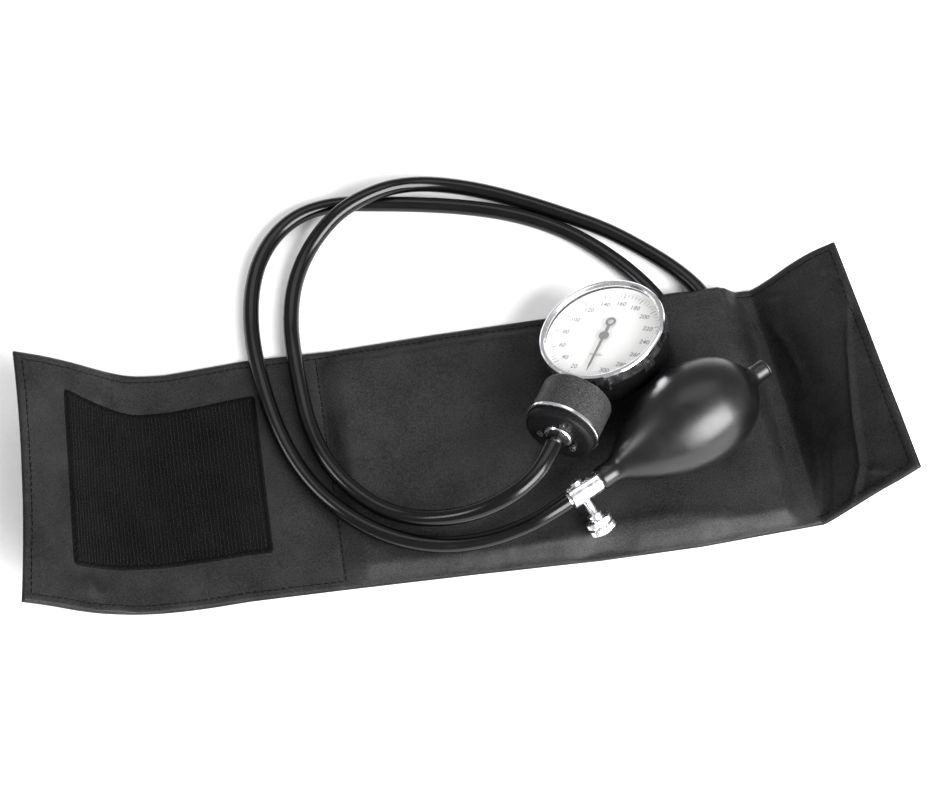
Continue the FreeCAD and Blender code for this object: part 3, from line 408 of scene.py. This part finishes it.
BULB_ROUTE = [
    (27, -52.4, 19.2), (14.6, -53.9, 14.6), (0.5, -54.4, 12), (-15, -53.2, 11.4),
    (-31, -48.6, 11.4), (-46.5, -40.4, 11.6), (-60.5, -28, 10.9), (-72.5, -12, 7.8),
    (-82, 7.5, 6.5), (-88.2, 29, 6.4), (-91.6, 50.5, 6.4), (-93.4, 68, 5.9), (-93.4, 86, 4.5),
    (-91, 104, 4.3), (-85.2, 121.5, 4.3), (-74.5, 136.6, 4.3), (-60, 146.4, 4.3),
    (-41, 149.4, 4.3), (-20.5, 146.2, 4.3), (1.5, 142.4, 4.3), (23.5, 137.6, 4.3),
    (44.5, 131.2, 4.3), (62.5, 123, 4.3), (78.6, 112.6, 4.3), (93, 99.6, 4.3),
    (105.5, 84.8, 5), (115.4, 68.6, 6), (121, 52.5, 6.15), (122.3, 43, 6.15),
]


def tube(name, node, group, start, outward, route, flare):
    """A rubber tube: a smooth curve with the route's points as its control points."""
    ends = [group @ Vector((0, 0, start * MM)),
            group @ Vector((0, 0, (start + outward * FIRST_RUN) * MM))]
    points = ends + [Vector(p) * MM for p in route]
    data = bpy.data.curves.new(name, "CURVE")
    data.dimensions = "3D"
    data.bevel_depth = TUBE_DIAMETER / 2 * MM
    data.bevel_resolution = 9
    data.resolution_u = 14
    data.use_fill_caps = True
    spline = data.splines.new("NURBS")
    spline.points.add(len(points) - 1)
    for knot, place in zip(spline.points, points):
        knot.co = (*place, 1)
    spline.points[0].radius = flare
    spline.order_u = 3
    spline.use_endpoint_u = True
    data.materials.append(TUBE)
    obj = link(bpy.data.objects.new(name, data), ROOT)
    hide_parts(node)


tube("gauge_hose", "gauge_tube", DRUM, NIPPLE_START, 1, GAUGE_ROUTE, 1.16)
tube("bulb_hose", "bulb_tube", BULB, BARREL_START, -1, BULB_ROUTE, 1.1)


# ---- cuff ---------------------------------------------------------------------------------------

CLOTH = 0.8
HALF_WIDTH = 66.0
HEM = 5.0
STITCH_INSET = HEM - 1.1
FLAT_LEFT, FLAT_RIGHT = -110.0, 150.0
POCKET_LEFT, POCKET_RIGHT, POCKET_TOP = -60.0, 163.0, 7.0
LOOP_LEFT, LOOP_RIGHT, LOOP_HALF_WIDTH, LOOP_THICK = -53.0, 155.0, 56.0, 0.9
# the cloth's underside from the flat part outwards, as (x, height), at the cuff's far edge,
# along its middle and at its near edge
LEFT_CURL = [
    [(-110, 0.2), (-132.8, 0.3), (-148, 1.0), (-159.7, 4.2), (-171, 13.0), (-183.8, 26.4),
     (-196.6, 37.4), (-208.7, 45.6)],
    [(-110, 0), (-135, 0), (-150, 0.4), (-163, 3), (-173.5, 8), (-183, 16.2), (-191, 25.5),
     (-199.5, 36.2), (-208, 46.8)],
    [(-110, 0.8), (-135, 2.2), (-158.3, 7.4), (-176.2, 16.6), (-188.7, 27.6), (-199.9, 40.4),
     (-211.2, 51.6)],
]
RIGHT_FLAP = [
    [(150, 0.2), (162, 0), (166.8, 0.8), (175, 10.1), (183.7, 22.7), (193.5, 33.6), (204.2, 40.9)],
    [(150, 0), (165, 0), (171.2, 0.8), (179, 11.3), (188.6, 26.6), (198.6, 39.5), (208.2, 48.8)],
    [(150, 0), (169, 0), (175.3, 1), (184.8, 14.9), (196.3, 33), (204.6, 44), (212.3, 56)],
]
# how far the cut edges stray from straight, as x and offset in y
NEAR_EDGE = [(-212, 0), (-150, 1.0), (-110, 2.2), (-60, 1.0), (0, -0.8), (62, -3.2), (112, -3.6),
             (162, -1.8), (212, 0)]
FAR_EDGE = [(-212, 0), (-170, -0.6), (-140, -1.9), (-100, -0.2), (-55, -1.4), (0, -0.2), (65, 0.2),
            (150, 0), (212, 0)]
TUBE_PORTS = (121.8, 144.6)
# the inner cloth's height where it is sewn down, and where it arches over the two tubes
SEWN_TOP, TENT_TOP = 1.9, 11.2
DENT_PLACE, DENT_DEPTH, DENT_WIDTH = (66, -60), 2.0, 12


def curve_through(points, count):
    """Count points, evenly spaced along a smooth curve through the given ones."""
    given = np.array(points, float)
    padded = np.vstack([2 * given[0] - given[1], given, 2 * given[-1] - given[-2]])
    fine = []
    for a, b, c, d in zip(padded, padded[1:], padded[2:], padded[3:]):
        for t in np.linspace(0, 1, 24, endpoint=False):
            fine.append(0.5 * (2 * b + (c - a) * t + (2 * a - 5 * b + 4 * c - d) * t ** 2
                               + (3 * b - a - 3 * c + d) * t ** 3))
    fine = np.vstack([fine, given[-1]])
    along = np.concatenate([[0], np.cumsum(np.linalg.norm(np.diff(fine, axis=0), axis=1))])
    places = np.linspace(0, along[-1], count)
    return np.column_stack([np.interp(places, along, fine[:, k]) for k in (0, 1)])


def guide(row):
    """The underside of the whole cuff along one of the three guide rows."""
    left = curve_through(LEFT_CURL[row], 96)[::-1]
    right = curve_through(RIGHT_FLAP[row], 84)
    flat_x = np.linspace(FLAT_LEFT, FLAT_RIGHT, 214)[1:-1]
    share = (flat_x - FLAT_LEFT) / (FLAT_RIGHT - FLAT_LEFT)
    flat_z = LEFT_CURL[row][0][1] * (1 - share) ** 2
    return np.vstack([left, np.column_stack([flat_x, flat_z]), right])


class Cuff:
    """The cloth's shape: a grid over its length and width, and how far above it a point lies."""

    def __init__(self, across=118):
        guides = [guide(row) for row in range(3)]
        self.v = np.linspace(-1, 1, across)
        weights = (self.v * (self.v + 1) / 2, 1 - self.v ** 2, self.v * (self.v - 1) / 2)
        x, z = (sum(np.outer(g[:, k], w) for g, w in zip(guides, weights)) for k in (0, 1))
        near = np.interp(x, *zip(*NEAR_EDGE))
        far = np.interp(x, *zip(*FAR_EDGE))
        share = step(-1, 1, self.v)[None, :]
        y = self.v[None, :] * HALF_WIDTH + near * (1 - share) + far * share
        self.base = np.dstack([x, y, z])
        along = np.gradient(self.base, axis=0)
        side = np.gradient(self.base, axis=1)
        normal = np.cross(along, side)
        self.normal = normal / np.linalg.norm(normal, axis=2, keepdims=True)
        middle = guides[1]
        length = np.concatenate([[0], np.cumsum(np.linalg.norm(np.diff(middle, axis=0), axis=1))])
        start = np.searchsorted(middle[:, 0], 0)
        self.s = length - np.interp(0, middle[start - 1:start + 1, 0], length[start - 1:start + 1])
        self.S, self.Y = np.meshgrid(self.s, self.v * HALF_WIDTH, indexing="ij")
        self.x = x

    def lifted(self, height):
        """The grid's points at a height above the underside."""
        return self.base + self.normal * height[..., None]

    def sample(self, array, s, y):
        """An array of the grid read at places (s, y) on the cloth."""
        i = np.clip(np.interp(s, self.s, np.arange(len(self.s))), 0, len(self.s) - 1.001)
        j = np.clip((np.asarray(y) / HALF_WIDTH + 1) / 2 * (len(self.v) - 1), 0,
                    len(self.v) - 1.001)
        i0, j0 = i.astype(int), j.astype(int)
        a, b = (i - i0)[:, None], (j - j0)[:, None]
        return ((array[i0, j0] * (1 - a) + array[i0 + 1, j0] * a) * (1 - b)
                + (array[i0, j0 + 1] * (1 - a) + array[i0 + 1, j0 + 1] * a) * b)


cuff = Cuff()
S_LEFT, S_RIGHT = cuff.s[0], cuff.s[-1]
# how far a crease takes to fade at its ends, and how much all creases are deepened
CREASE_FADE, CREASE_GAIN = 6.0, 1.5
FLAP_FOLD = 172.0


def crease(points, width, height):
    """A fold or ridge along a line of (s, y) places on the cloth, lower at its two ends."""
    total = np.zeros_like(cuff.S)
    for (s0, y0), (s1, y1) in zip(points, points[1:]):
        ds, dy = s1 - s0, y1 - y0
        t = ((cuff.S - s0) * ds + (cuff.Y - y0) * dy) / (ds * ds + dy * dy)
        share = np.clip(t, 0, 1)
        distance = np.hypot(cuff.S - s0 - share * ds, cuff.Y - y0 - share * dy)
        total = np.maximum(total, np.exp(-(distance / width) ** 2))
    for s0, y0 in (points[0], points[-1]):
        total *= 1 - 0.7 * np.exp(-((cuff.S - s0) ** 2 + (cuff.Y - y0) ** 2) / CREASE_FADE ** 2)
    return total * height * CREASE_GAIN


def flap_place(t, q):
    """A place on the flap: t from the fold to the end, q from the far edge to the near one."""
    return (FLAP_FOLD + (S_RIGHT - FLAP_FOLD) * t, HALF_WIDTH * (1 - 2 * q))


def edge_distance():
    """How far each place lies from the cloth's nearest edge."""
    return np.minimum(HALF_WIDTH - np.abs(cuff.Y), np.minimum(cuff.S - S_LEFT, S_RIGHT - cuff.S))


def inner_height():
    """The height of the inner cloth's upper face."""
    s, y, x = cuff.S, cuff.Y, cuff.x
    pocket = step(POCKET_LEFT - 3, POCKET_LEFT + 9, s)
    pocket *= 1 - step(POCKET_RIGHT - 9, POCKET_RIGHT, s)
    crown = step(0, 11, HALF_WIDTH - np.abs(y))
    full = pocket * crown * (POCKET_TOP - SEWN_TOP)
    slack = 0.5 + 0.5 * smooth_noise(s, y, 34, 3)
    full *= 1 - 0.16 * slack - 0.05 * (0.5 + 0.5 * smooth_noise(s, y, 13, 4))
    height = SEWN_TOP + full
    # the far edge arches over the two tubes
    first, last = TUBE_PORTS
    tent = step(first - 17, first - 3, x) * (1 - step(last + 2, last + 15, x))
    tent *= 1 - 0.12 * bell(x - (first + last) / 2, 5)
    tent *= step(8, 38, y)
    height += tent * (TENT_TOP - SEWN_TOP - full * 0.97)
    # loose cloth between the seams
    loose = smooth_noise(s, y, 26, 11) * 0.32 + smooth_noise(s, y * 0.6, 12, 12) * 0.12
    height += loose * crown * (0.25 + 0.75 * (1 - pocket))
    # the thumb screw presses into the pocket's near side
    height -= DENT_DEPTH * bell(np.hypot(s - DENT_PLACE[0], y - DENT_PLACE[1]), DENT_WIDTH)
    return np.maximum(height + folds(), 2 * CLOTH)


def folds():
    """Creases, puckers and the pull of the stitching."""
    s, y = cuff.S, cuff.Y
    inside = edge_distance()
    total = crease([flap_place(0.76, 0.09), flap_place(0.88, 0.11), flap_place(0.95, 0.19),
                    flap_place(0.92, 0.28), flap_place(0.79, 0.455), flap_place(0.62, 0.71),
                    flap_place(0.53, 0.89), flap_place(0.34, 0.985)], 1.7, 1.15)
    total += crease([flap_place(0.53, 0.89), flap_place(0.66, 0.93), flap_place(0.78, 0.97)],
                    1.6, 0.8)
    total += crease([flap_place(0.05, 0.16), flap_place(0.2, 0.3), flap_place(0.26, 0.5)],
                    3.2, 0.5)
    total -= crease([flap_place(0.06, 0.06), flap_place(0.3, 0.09)], 2.0, 0.6)
    total -= crease([flap_place(0.3, 0.62), flap_place(0.16, 0.85), flap_place(0.03, 0.97)],
                    3.0, 0.7)
    # the pinch beside the fold, and the sharp valley across the curl's far edge
    total -= crease([(164, 62), (165, 50), (167, 38)], 1.1, 1.0)
    total -= crease([(-166, 66), (-164, 52), (-157, 38)], 5.0, 1.6)
    total += crease([(-178, 66), (-177, 55), (-182, 45)], 5.0, 0.9)
    total -= crease([(-160, -66), (-163, -56), (-172, -47)], 6.0, 0.9)
    total += crease([(-208, -58), (-190, -52), (-178, -58)], 5.0, 1.0)
    # the cross seam where the pocket starts
    total -= crease([(-63.5, -66), (-63, -30), (-63, 66)], 0.55, 0.5)
    # slack in the pocket along the near edge
    total += crease([(20, -58), (60, -52), (100, -50), (128, -55)], 4.0, 0.8)
    total -= crease([(8, -62), (30, -60), (52, -61)], 3.0, 0.5)
    # turned hem with its row of stitches
    sewn = 1 - step(-66, -60, s) * (1 - step(164, 168, s)) * (1 - step(0, 20, y))
    total += 0.35 * (1 - step(HEM - 0.6, HEM + 0.5, inside)) * sewn
    pull = 0.75 + 0.25 * np.cos((s + y) * 2 * math.pi / 6.3)
    total -= 0.45 * bell(inside - STITCH_INSET, 0.8) * pull * sewn
    wave = smooth_noise(s, y, 7.5, 21)
    total += 0.28 * wave * bell(inside - HEM, 6.0)
    total += 0.5 * smooth_noise(s * 0.55 + y * 0.3, y, 15, 22) * bell(inside - 9, 11.0)
    # the edge is turned under
    return total - 0.9 * (1 - step(0, 1.1, inside)) ** 2


INNER_TOP = inner_height()
INNER_POINTS = cuff.lifted(INNER_TOP)
CLOTH_UV = np.column_stack([cuff.S.ravel(), cuff.Y.ravel()])
SHAPE = cuff.S.shape


def thicken(obj, thickness):
    """Gives a sheet its thickness, below its upper face."""
    solid = obj.modifiers.new("thickness", "SOLIDIFY")
    solid.thickness = thickness * MM
    solid.offset = -1
    return obj


def inner_cloth():
    obj = mesh_object("cuff_inner_cloth", INNER_POINTS.reshape(-1, 3), cloth_faces(*SHAPE), NYLON,
                      uv=CLOTH_UV)
    thicken(obj, CLOTH)
    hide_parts("cuff_inner_panel")
    return obj


def outer_cloth():
    """The panel underneath: flat on the loop patch, and up the curl and the flap."""
    over_loop = step(LOOP_LEFT - 4, LOOP_LEFT, cuff.S)
    over_loop *= 1 - step(LOOP_RIGHT, LOOP_RIGHT + 5, cuff.S)
    over_loop *= step(-LOOP_HALF_WIDTH - 4, -LOOP_HALF_WIDTH, -np.abs(cuff.Y))
    slack = 0.12 * (1 + smooth_noise(cuff.S, cuff.Y, 18, 31))
    height = CLOTH + 0.05 + over_loop * LOOP_THICK + slack
    obj = mesh_object("cuff_outer_cloth", cuff.lifted(height).reshape(-1, 3), cloth_faces(*SHAPE),
                      NYLON, uv=CLOTH_UV)
    thicken(obj, CLOTH - 0.05)
    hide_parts("cuff_outer_panel")
    return obj


def patch_grid(s_low, s_high, y_low, y_high, pitch, height_of):
    """Points over a rounded patch on the cloth; height_of gives each one's height in mm."""
    corner = 3.0
    s_count, y_count = int((s_high - s_low) / pitch) + 1, int((y_high - y_low) / pitch) + 1
    s, y = np.meshgrid(np.linspace(s_low, s_high, s_count), np.linspace(y_low, y_high, y_count),
                       indexing="ij")
    # pull the corners in to a small radius
    ds = np.maximum(np.maximum(s_low + corner - s, s - s_high + corner), 0)
    dy = np.maximum(np.maximum(y_low + corner - y, y - y_high + corner), 0)
    far = np.hypot(ds, dy)
    shrink = np.where(far > corner, corner / np.maximum(far, 1e-6), 1.0)
    s = s + np.where(s < (s_low + s_high) / 2, 1, -1) * ds * (1 - shrink)
    y = y + np.where(y < (y_low + y_high) / 2, 1, -1) * dy * (1 - shrink)
    at_s, at_y = hook_place(s.ravel(), y.ravel())
    places = cuff.sample(INNER_POINTS, at_s, at_y)
    normals = cuff.sample(cuff.normal, at_s, at_y)
    rim = np.minimum(np.minimum(s - s_low, s_high - s), np.minimum(y - y_low, y_high - y))
    return places + normals * height_of(s, rim).ravel()[:, None], s, y


HOOK_S, HOOK_Y = (-201.0, -96.0), (-42.5, 47.0)
HOOK_ROWS, HOOK_STEP = 1.85, 1.15
HOOK_BEND = [(0, 0), (0.02, 0.55), (0.2, 0.86), (0.5, 0.84), (0.62, 0.55)]


def hook_place(s, y):
    """The patch isn't square: its far edge sags and its near left corner is drawn in."""
    share_s = (s - HOOK_S[0]) / (HOOK_S[1] - HOOK_S[0])
    share_y = (y - HOOK_Y[0]) / (HOOK_Y[1] - HOOK_Y[0])
    sag = np.interp(share_s, (0, 0.18, 0.4, 0.7, 1), (4.5, 0.8, -2.5, -2.2, -1.2))
    return s + 3.0 * (1 - share_s) * (1 - share_y), y + sag * share_y


def hook_tape():
    """The woven tape that carries the hooks, raised in ribs."""
    def height(s, rim):
        rib = 0.10 * np.cos((s - HOOK_S[0]) * 2 * math.pi / HOOK_ROWS)
        return -0.15 + 0.85 * step(0, 0.9, rim) + rib * step(2, 3, rim)

    points, s, y = patch_grid(*HOOK_S, *HOOK_Y, 0.45, height)
    obj = mesh_object("hook_tape", points, cloth_faces(*s.shape), HOOK_BASE,
                      uv=np.column_stack([s.ravel(), y.ravel()]))
    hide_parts("hook_patch")
    return obj


def bent_thread(path, radius, sides=3):
    """Template rings of a short thread along a path of (along, up) points."""
    rings = []
    path = np.array(path, float)
    for i, (along, up) in enumerate(path):
        back, front = path[max(i - 1, 0)], path[min(i + 1, len(path) - 1)]
        run = (front - back) / np.linalg.norm(front - back)
        for k in range(sides):
            angle = 2 * math.pi * k / sides
            rings.append((along - run[1] * radius * math.cos(angle), radius * math.sin(angle),
                          up + run[0] * radius * math.cos(angle)))
    faces = grid_faces(len(path), sides, wrap=True)
    faces.append(tuple(range(sides))[::-1])
    faces.append(tuple(range((len(path) - 1) * sides, len(path) * sides)))
    return np.array(rings), faces


def scatter(template, faces, places, along, up):
    """Copies of a template at places, each with its own direction along and up."""
    side = np.cross(up, along)
    points = (places[:, None, :] + template[None, :, 0:1] * along[:, None, :]
              + template[None, :, 1:2] * side[:, None, :] + template[None, :, 2:3] * up[:, None, :])
    count = len(template)
    all_faces = [tuple(i * count + k for k in face) for i in range(len(places)) for face in faces]
    return points.reshape(-1, 3), all_faces


def unit(vectors):
    return vectors / np.linalg.norm(vectors, axis=1, keepdims=True)


def on_cloth(s, y, ds, dy, lift):
    """Places on the inner cloth with a direction along it and the way up."""
    here = cuff.sample(INNER_POINTS, s, y)
    there = cuff.sample(INNER_POINTS, s + ds * 0.5, y + dy * 0.5)
    up = unit(cuff.sample(cuff.normal, s, y))
    along = there - here
    along -= up * np.sum(along * up, axis=1, keepdims=True)
    return here + up * lift, unit(along), up


def hook_field():
    """Rows of small hooks, every other row leaning the other way."""
    draw = np.random.default_rng(7)
    margin = 3.2
    rows = np.arange(HOOK_S[0] + margin, HOOK_S[1] - margin, HOOK_ROWS)
    steps = np.arange(HOOK_Y[0] + margin, HOOK_Y[1] - margin, HOOK_STEP)
    s, y = np.meshgrid(rows, steps, indexing="ij")
    lean = np.where(np.arange(len(rows)) % 2, 1.0, -1.0)[:, None] * np.ones_like(s)
    s = (s + draw.normal(0, 0.1, s.shape)).ravel()
    y = (y + draw.normal(0, 0.14, y.shape)).ravel()
    lean = lean.ravel()
    turn = draw.normal(0, 0.3, s.shape)
    s, y = hook_place(s, y)
    places, along, up = on_cloth(s, y, np.sin(turn), lean * np.cos(turn), 0.55)
    template, faces = bent_thread(HOOK_BEND, 0.13)
    points, all_faces = scatter(template, faces, places, along, up)
    return mesh_object("hook_field", points, all_faces, HOOKS)


STITCH = bent_thread([(-1.35, -0.25), (-0.95, 0.1), (0, 0.2), (0.95, 0.1), (1.35, -0.25)],
                     0.17, 5)


def stitch_rows(name, rows, pitch=3.4, zigzag=0.0):
    """Sewing thread along rows of (s, y) places; zigzag is how far it swings to each side."""
    draw = np.random.default_rng(len(name))
    parts = []
    for (s0, y0), (s1, y1) in rows:
        length = math.hypot(s1 - s0, y1 - y0)
        count = int(length / pitch)
        share = (np.arange(count) + 0.5) / count
        ds, dy = (s1 - s0) / length, (y1 - y0) / length
        swing = zigzag * np.where(np.arange(count) % 2, 1, -1)
        s, y = s0 + share * (s1 - s0), y0 + share * (y1 - y0)
        if zigzag:
            s, y = hook_place(s, y)
        tilt = draw.normal(0, 0.06, count) + np.arctan2(2 * swing, pitch)
        run_s, run_y = ds * np.cos(tilt) - dy * np.sin(tilt), ds * np.sin(tilt) + dy * np.cos(tilt)
        parts.append(on_cloth(s, y, run_s, run_y, 0.12 if not zigzag else 0.95))
    places, along, up = (np.vstack([part[k] for part in parts]) for k in range(3))
    points, faces = scatter(*STITCH, places, along, up)
    return mesh_object(name, points, faces, THREAD)


def hem_stitching():
    left, right = S_LEFT + STITCH_INSET, S_RIGHT - STITCH_INSET
    near, far = -HALF_WIDTH + STITCH_INSET, HALF_WIDTH - STITCH_INSET
    rows = [((left, near), (-64, near)), ((168, near), (right, near)),
            ((left, far), (110, far)), ((157, far), (right, far)),
            ((left, near), (left, far)), ((right, near), (right, far)), ((-63, near), (-63, far))]
    return stitch_rows("hem_stitching", rows)


def hook_stitching():
    inset = 1.5
    s0, s1, y0, y1 = HOOK_S[0] + inset, HOOK_S[1] - inset, HOOK_Y[0] + inset, HOOK_Y[1] - inset
    rows = [((s0, y0), (s1, y0)), ((s1, y0), (s1, y1)), ((s1, y1), (s0, y1)), ((s0, y1), (s0, y0))]
    return stitch_rows("hook_stitching", rows, 1.7, 0.5)


def loop_pad():
    """The brushed loop patch under the cuff."""
    s, y = np.meshgrid(np.linspace(LOOP_LEFT, LOOP_RIGHT, 120),
                       np.linspace(-LOOP_HALF_WIDTH, LOOP_HALF_WIDTH, 66), indexing="ij")
    rim = np.minimum(np.minimum(s - LOOP_LEFT, LOOP_RIGHT - s), LOOP_HALF_WIDTH - np.abs(y))
    low = 0.75 * (1 - step(0, 1.2, rim)) + 0.04 * (1 + smooth_noise(s, y, 4, 51))
    top = np.full_like(low, LOOP_THICK)
    points = np.vstack([np.column_stack([s.ravel(), y.ravel(), z.ravel()]) for z in (low, top)])
    faces = grid_faces(*s.shape)
    shift = s.size
    faces += [tuple(k + shift for k in face) for face in cloth_faces(*s.shape)]
    rows, columns = s.shape
    border = ([(i, 0) for i in range(rows)] + [(rows - 1, j) for j in range(1, columns)]
              + [(i, columns - 1) for i in range(rows - 2, -1, -1)]
              + [(0, j) for j in range(columns - 2, 0, -1)])
    ring = [i * columns + j for i, j in border]
    faces += [(a, b, b + shift, a + shift) for a, b in zip(ring, ring[1:] + ring[:1])]
    uv = np.column_stack([np.tile(s.ravel(), 2), np.tile(y.ravel(), 2)])
    obj = mesh_object("loop_pad", points, faces, LOOPS, uv=uv)
    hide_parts("loop_patch")
    return obj


inner, outer = inner_cloth(), outer_cloth()
tape, field = hook_tape(), hook_field()
hems, hook_seam = hem_stitching(), hook_stitching()
pad = loop_pad()


# ---- bulb ---------------------------------------------------------------------------------------

def lathe(name, profile, group, material, sides=120, seam=0.0, sharp=None):
    """A turned shell about the group's Z axis, from (height, radius) pairs in millimetres."""
    angle = np.linspace(0, 2 * math.pi, sides, endpoint=False)
    rows = []
    for height, radius in profile:
        r = radius + seam * (bell(np.sin(angle - 0.6), 0.02) if radius > 6 else 0)
        rows.append(np.column_stack([r * np.cos(angle), r * np.sin(angle),
                                     np.full(sides, height)]))
    points = np.vstack(rows)
    turn = np.array(group.to_3x3())
    points = points @ turn.T + np.array(group.translation) / MM
    faces = grid_faces(len(rows), sides, wrap=True)
    obj = mesh_object(name, points, faces, material)
    if sharp:
        obj.data.set_sharp_from_angle(angle=math.radians(sharp))
    return obj


BULB_PROFILE = [(-50, 5.9), (-47, 6.0), (-44, 7.0), (-40, 9.9), (-33, 14.6), (-25, 19), (-15, 23.2),
                (-5, 25.5), (3, 25.9), (12, 24.8), (20, 22), (27, 17.6), (32, 12), (35, 7)]


def bulb_outline():
    """The bulb from inside its mouth, over the outside, into the bore of its nub."""
    outside = curve_through([(-54.5, 5.75), (-53, 6.0), *BULB_PROFILE, (37.2, 5.0)], 96)
    mouth = [(-52, 3.45), (-54.2, 3.5), (-54.9, 3.9), (-55.05, 4.6), (-54.9, 5.3)]
    nub = [(38.5, 4.85), (41, 4.8), (43.6, 4.9), (44.3, 4.7), (44.5, 4.2), (44.4, 3.5), (42, 3.25)]
    return [*mouth, *map(tuple, outside), *nub]


bulb = lathe("squeeze_bulb", bulb_outline(), BULB, BULB_RUBBER, seam=0.12)
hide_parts("bulb_shell")


# ---- dial ---------------------------------------------------------------------------------------

DIAL_FACE = -6.9
SCALE_TOP, SCALE_STEP = 300, 20
ZERO_ANGLE, FULL_TURN = 270.0, 337.5
PRINT = 0.04


def scale_angle(pressure):
    """Where a pressure stands on the dial, in degrees from 3 o'clock."""
    return math.radians(ZERO_ANGLE - FULL_TURN * pressure / SCALE_TOP)


def dial_point(radius, angle, height=DIAL_FACE + PRINT):
    return np.array(GAUGE @ Vector((radius * math.cos(angle) * MM, radius * math.sin(angle) * MM,
                                    height * MM))) / MM


def dial_ticks():
    """Short marks every 4 and longer ones every 20."""
    points, faces = [], []

    def bar(angle, low, high, width):
        start = len(points)
        for radius, side in ((low, -1), (high, -1), (high, 1), (low, 1)):
            points.append(dial_point(radius, angle + side * width / 2 / radius))
        faces.append((start, start + 1, start + 2, start + 3))

    for pressure in range(0, SCALE_TOP + 1, 4):
        major = pressure % SCALE_STEP == 0
        bar(scale_angle(pressure), 25.4 if major else 26.4, 28.3, 0.5 if major else 0.28)
    mesh_object("dial_ticks", points, faces, FAINT_INK)


def lettering(name, words, radius, angle, size, material):
    """Upright text printed on the dial, centred at a radius and angle."""
    data = bpy.data.curves.new(name, "FONT")
    data.body = words
    data.size = size * MM
    data.align_x, data.align_y = "CENTER", "CENTER"
    data.resolution_u = 3
    data.offset = 0.05 * MM
    maker = bpy.data.objects.new(name, data)
    bpy.context.scene.collection.objects.link(maker)
    mesh = bpy.data.meshes.new_from_object(maker)
    bpy.data.objects.remove(maker)
    place = Matrix.Translation((radius * math.cos(angle) * MM, radius * math.sin(angle) * MM,
                                (DIAL_FACE + PRINT) * MM))
    mesh.transform(GAUGE @ place)
    mesh.materials.clear()
    mesh.materials.append(material)
    link(bpy.data.objects.new(name, mesh), ROOT)


def spacer_ring():
    """The white ring that keeps the crystal off the dial."""
    profile = [(-6.88, 29.9), (-6.88, 29.3), (-6.6, 29.25), (-4.5, 29.45), (-4.25, 29.6),
               (-4.25, 29.9)]
    lathe("dial_spacer", profile, GAUGE, DIAL)


def dial_print():
    spacer_ring()
    dial_ticks()
    for pressure in range(SCALE_STEP, SCALE_TOP + 1, SCALE_STEP):
        lettering(f"numeral_{pressure}", str(pressure), 22.0, scale_angle(pressure), 3.6, INK)
    lettering("unit_mark", "mmHg", 11.5, math.radians(270), 2.6, FAINT_INK)


dial_print()


# ---- thumb screw --------------------------------------------------------------------------------

STEM = BULB @ Matrix.Translation((0, 0, -65.8 * MM)) @ Matrix(
    ((0, 0, 1, 0), (0, -1, 0, 0), (1, 0, 0, 0), (0, 0, 0, 1)))
KNURLS = 34
THREADS, THREAD_PITCH = 11, 0.6


def release_knob():
    """The thumb screw: a threaded shank and two knurled discs with a groove between."""
    outline = [(3.1, 0.05, 0), (3.1, 2.4, 0)]
    for turn in range(THREADS):
        crest = 5.6 + turn * THREAD_PITCH
        outline += [(crest, 2.4, 0), (crest + THREAD_PITCH / 2, 2.12, 0)]
    outline += [(12.3, 2.3, 0), (12.4, 3.8, 0), (12.7, 4.05, 0), (13.7, 4.05, 0), (13.9, 3.5, 0),
                (14.2, 3.5, 0), (14.4, 4.05, 0), (15.2, 4.05, 0), (15.4, 4.6, 0), (15.5, 6.2, 0),
                (15.7, 6.55, 0.1), (15.95, 6.73, 0.24), (17.9, 6.73, 0.24), (18.2, 6.5, 0.1),
                (18.4, 5.6, 0), (19.3, 5.5, 0), (19.5, 6.5, 0.1), (19.8, 6.73, 0.24),
                (21.9, 6.73, 0.24), (22.3, 6.5, 0.1), (22.8, 5.9, 0), (23.1, 4.6, 0),
                (23.2, 3.6, 0), (23.0, 3.2, 0), (23.0, 0.05, 0)]
    sides = KNURLS * 6
    angle = np.linspace(0, 2 * math.pi, sides, endpoint=False)
    tooth = np.abs(((angle * KNURLS / (2 * math.pi)) % 1) - 0.5) * 2
    rows = []
    for height, radius, cut in outline:
        r = radius - cut * tooth
        rows.append(np.column_stack([r * np.cos(angle), r * np.sin(angle),
                                     np.full(sides, height)]))
    points = np.vstack(rows) @ np.array(STEM.to_3x3()).T + np.array(STEM.translation) / MM
    obj = mesh_object("knurled_knob", points, grid_faces(len(rows), sides, wrap=True), SATIN,
                      body="knob")
    obj.data.set_sharp_from_angle(angle=math.radians(20))
    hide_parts("release_knob")


release_knob()


def valve_barrel():
    """The plated barrel that the thumb screw goes into, chamfered at both ends."""
    profile = [(-73.35, 2.0), (-73.35, 2.9), (-72.3, 3.0), (-72.15, 4.7), (-71.9, 5.2), (-71.5, 5.4),
               (-70.2, 5.4), (-70.05, 5.25), (-69.9, 5.4), (-55.9, 5.4), (-55.4, 5.25), (-55.0, 4.8),
               (-54.95, 3.5)]
    barrel = lathe("valve_barrel", profile, BULB, SATIN, sharp=20)
    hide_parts("valve_body")


def clamp_ring():
    """The narrow bright ring between the drum and its end cap."""
    profile = [(54.7, 18.02), (54.7, 18.6), (54.95, 18.9), (56.15, 18.9), (56.45, 18.6),
               (56.5, 17.65)]
    ring = lathe("clamp_ring", profile, DRUM, CHROME, sides=180, sharp=20)
    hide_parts("drum_ring")


valve_barrel()
clamp_ring()
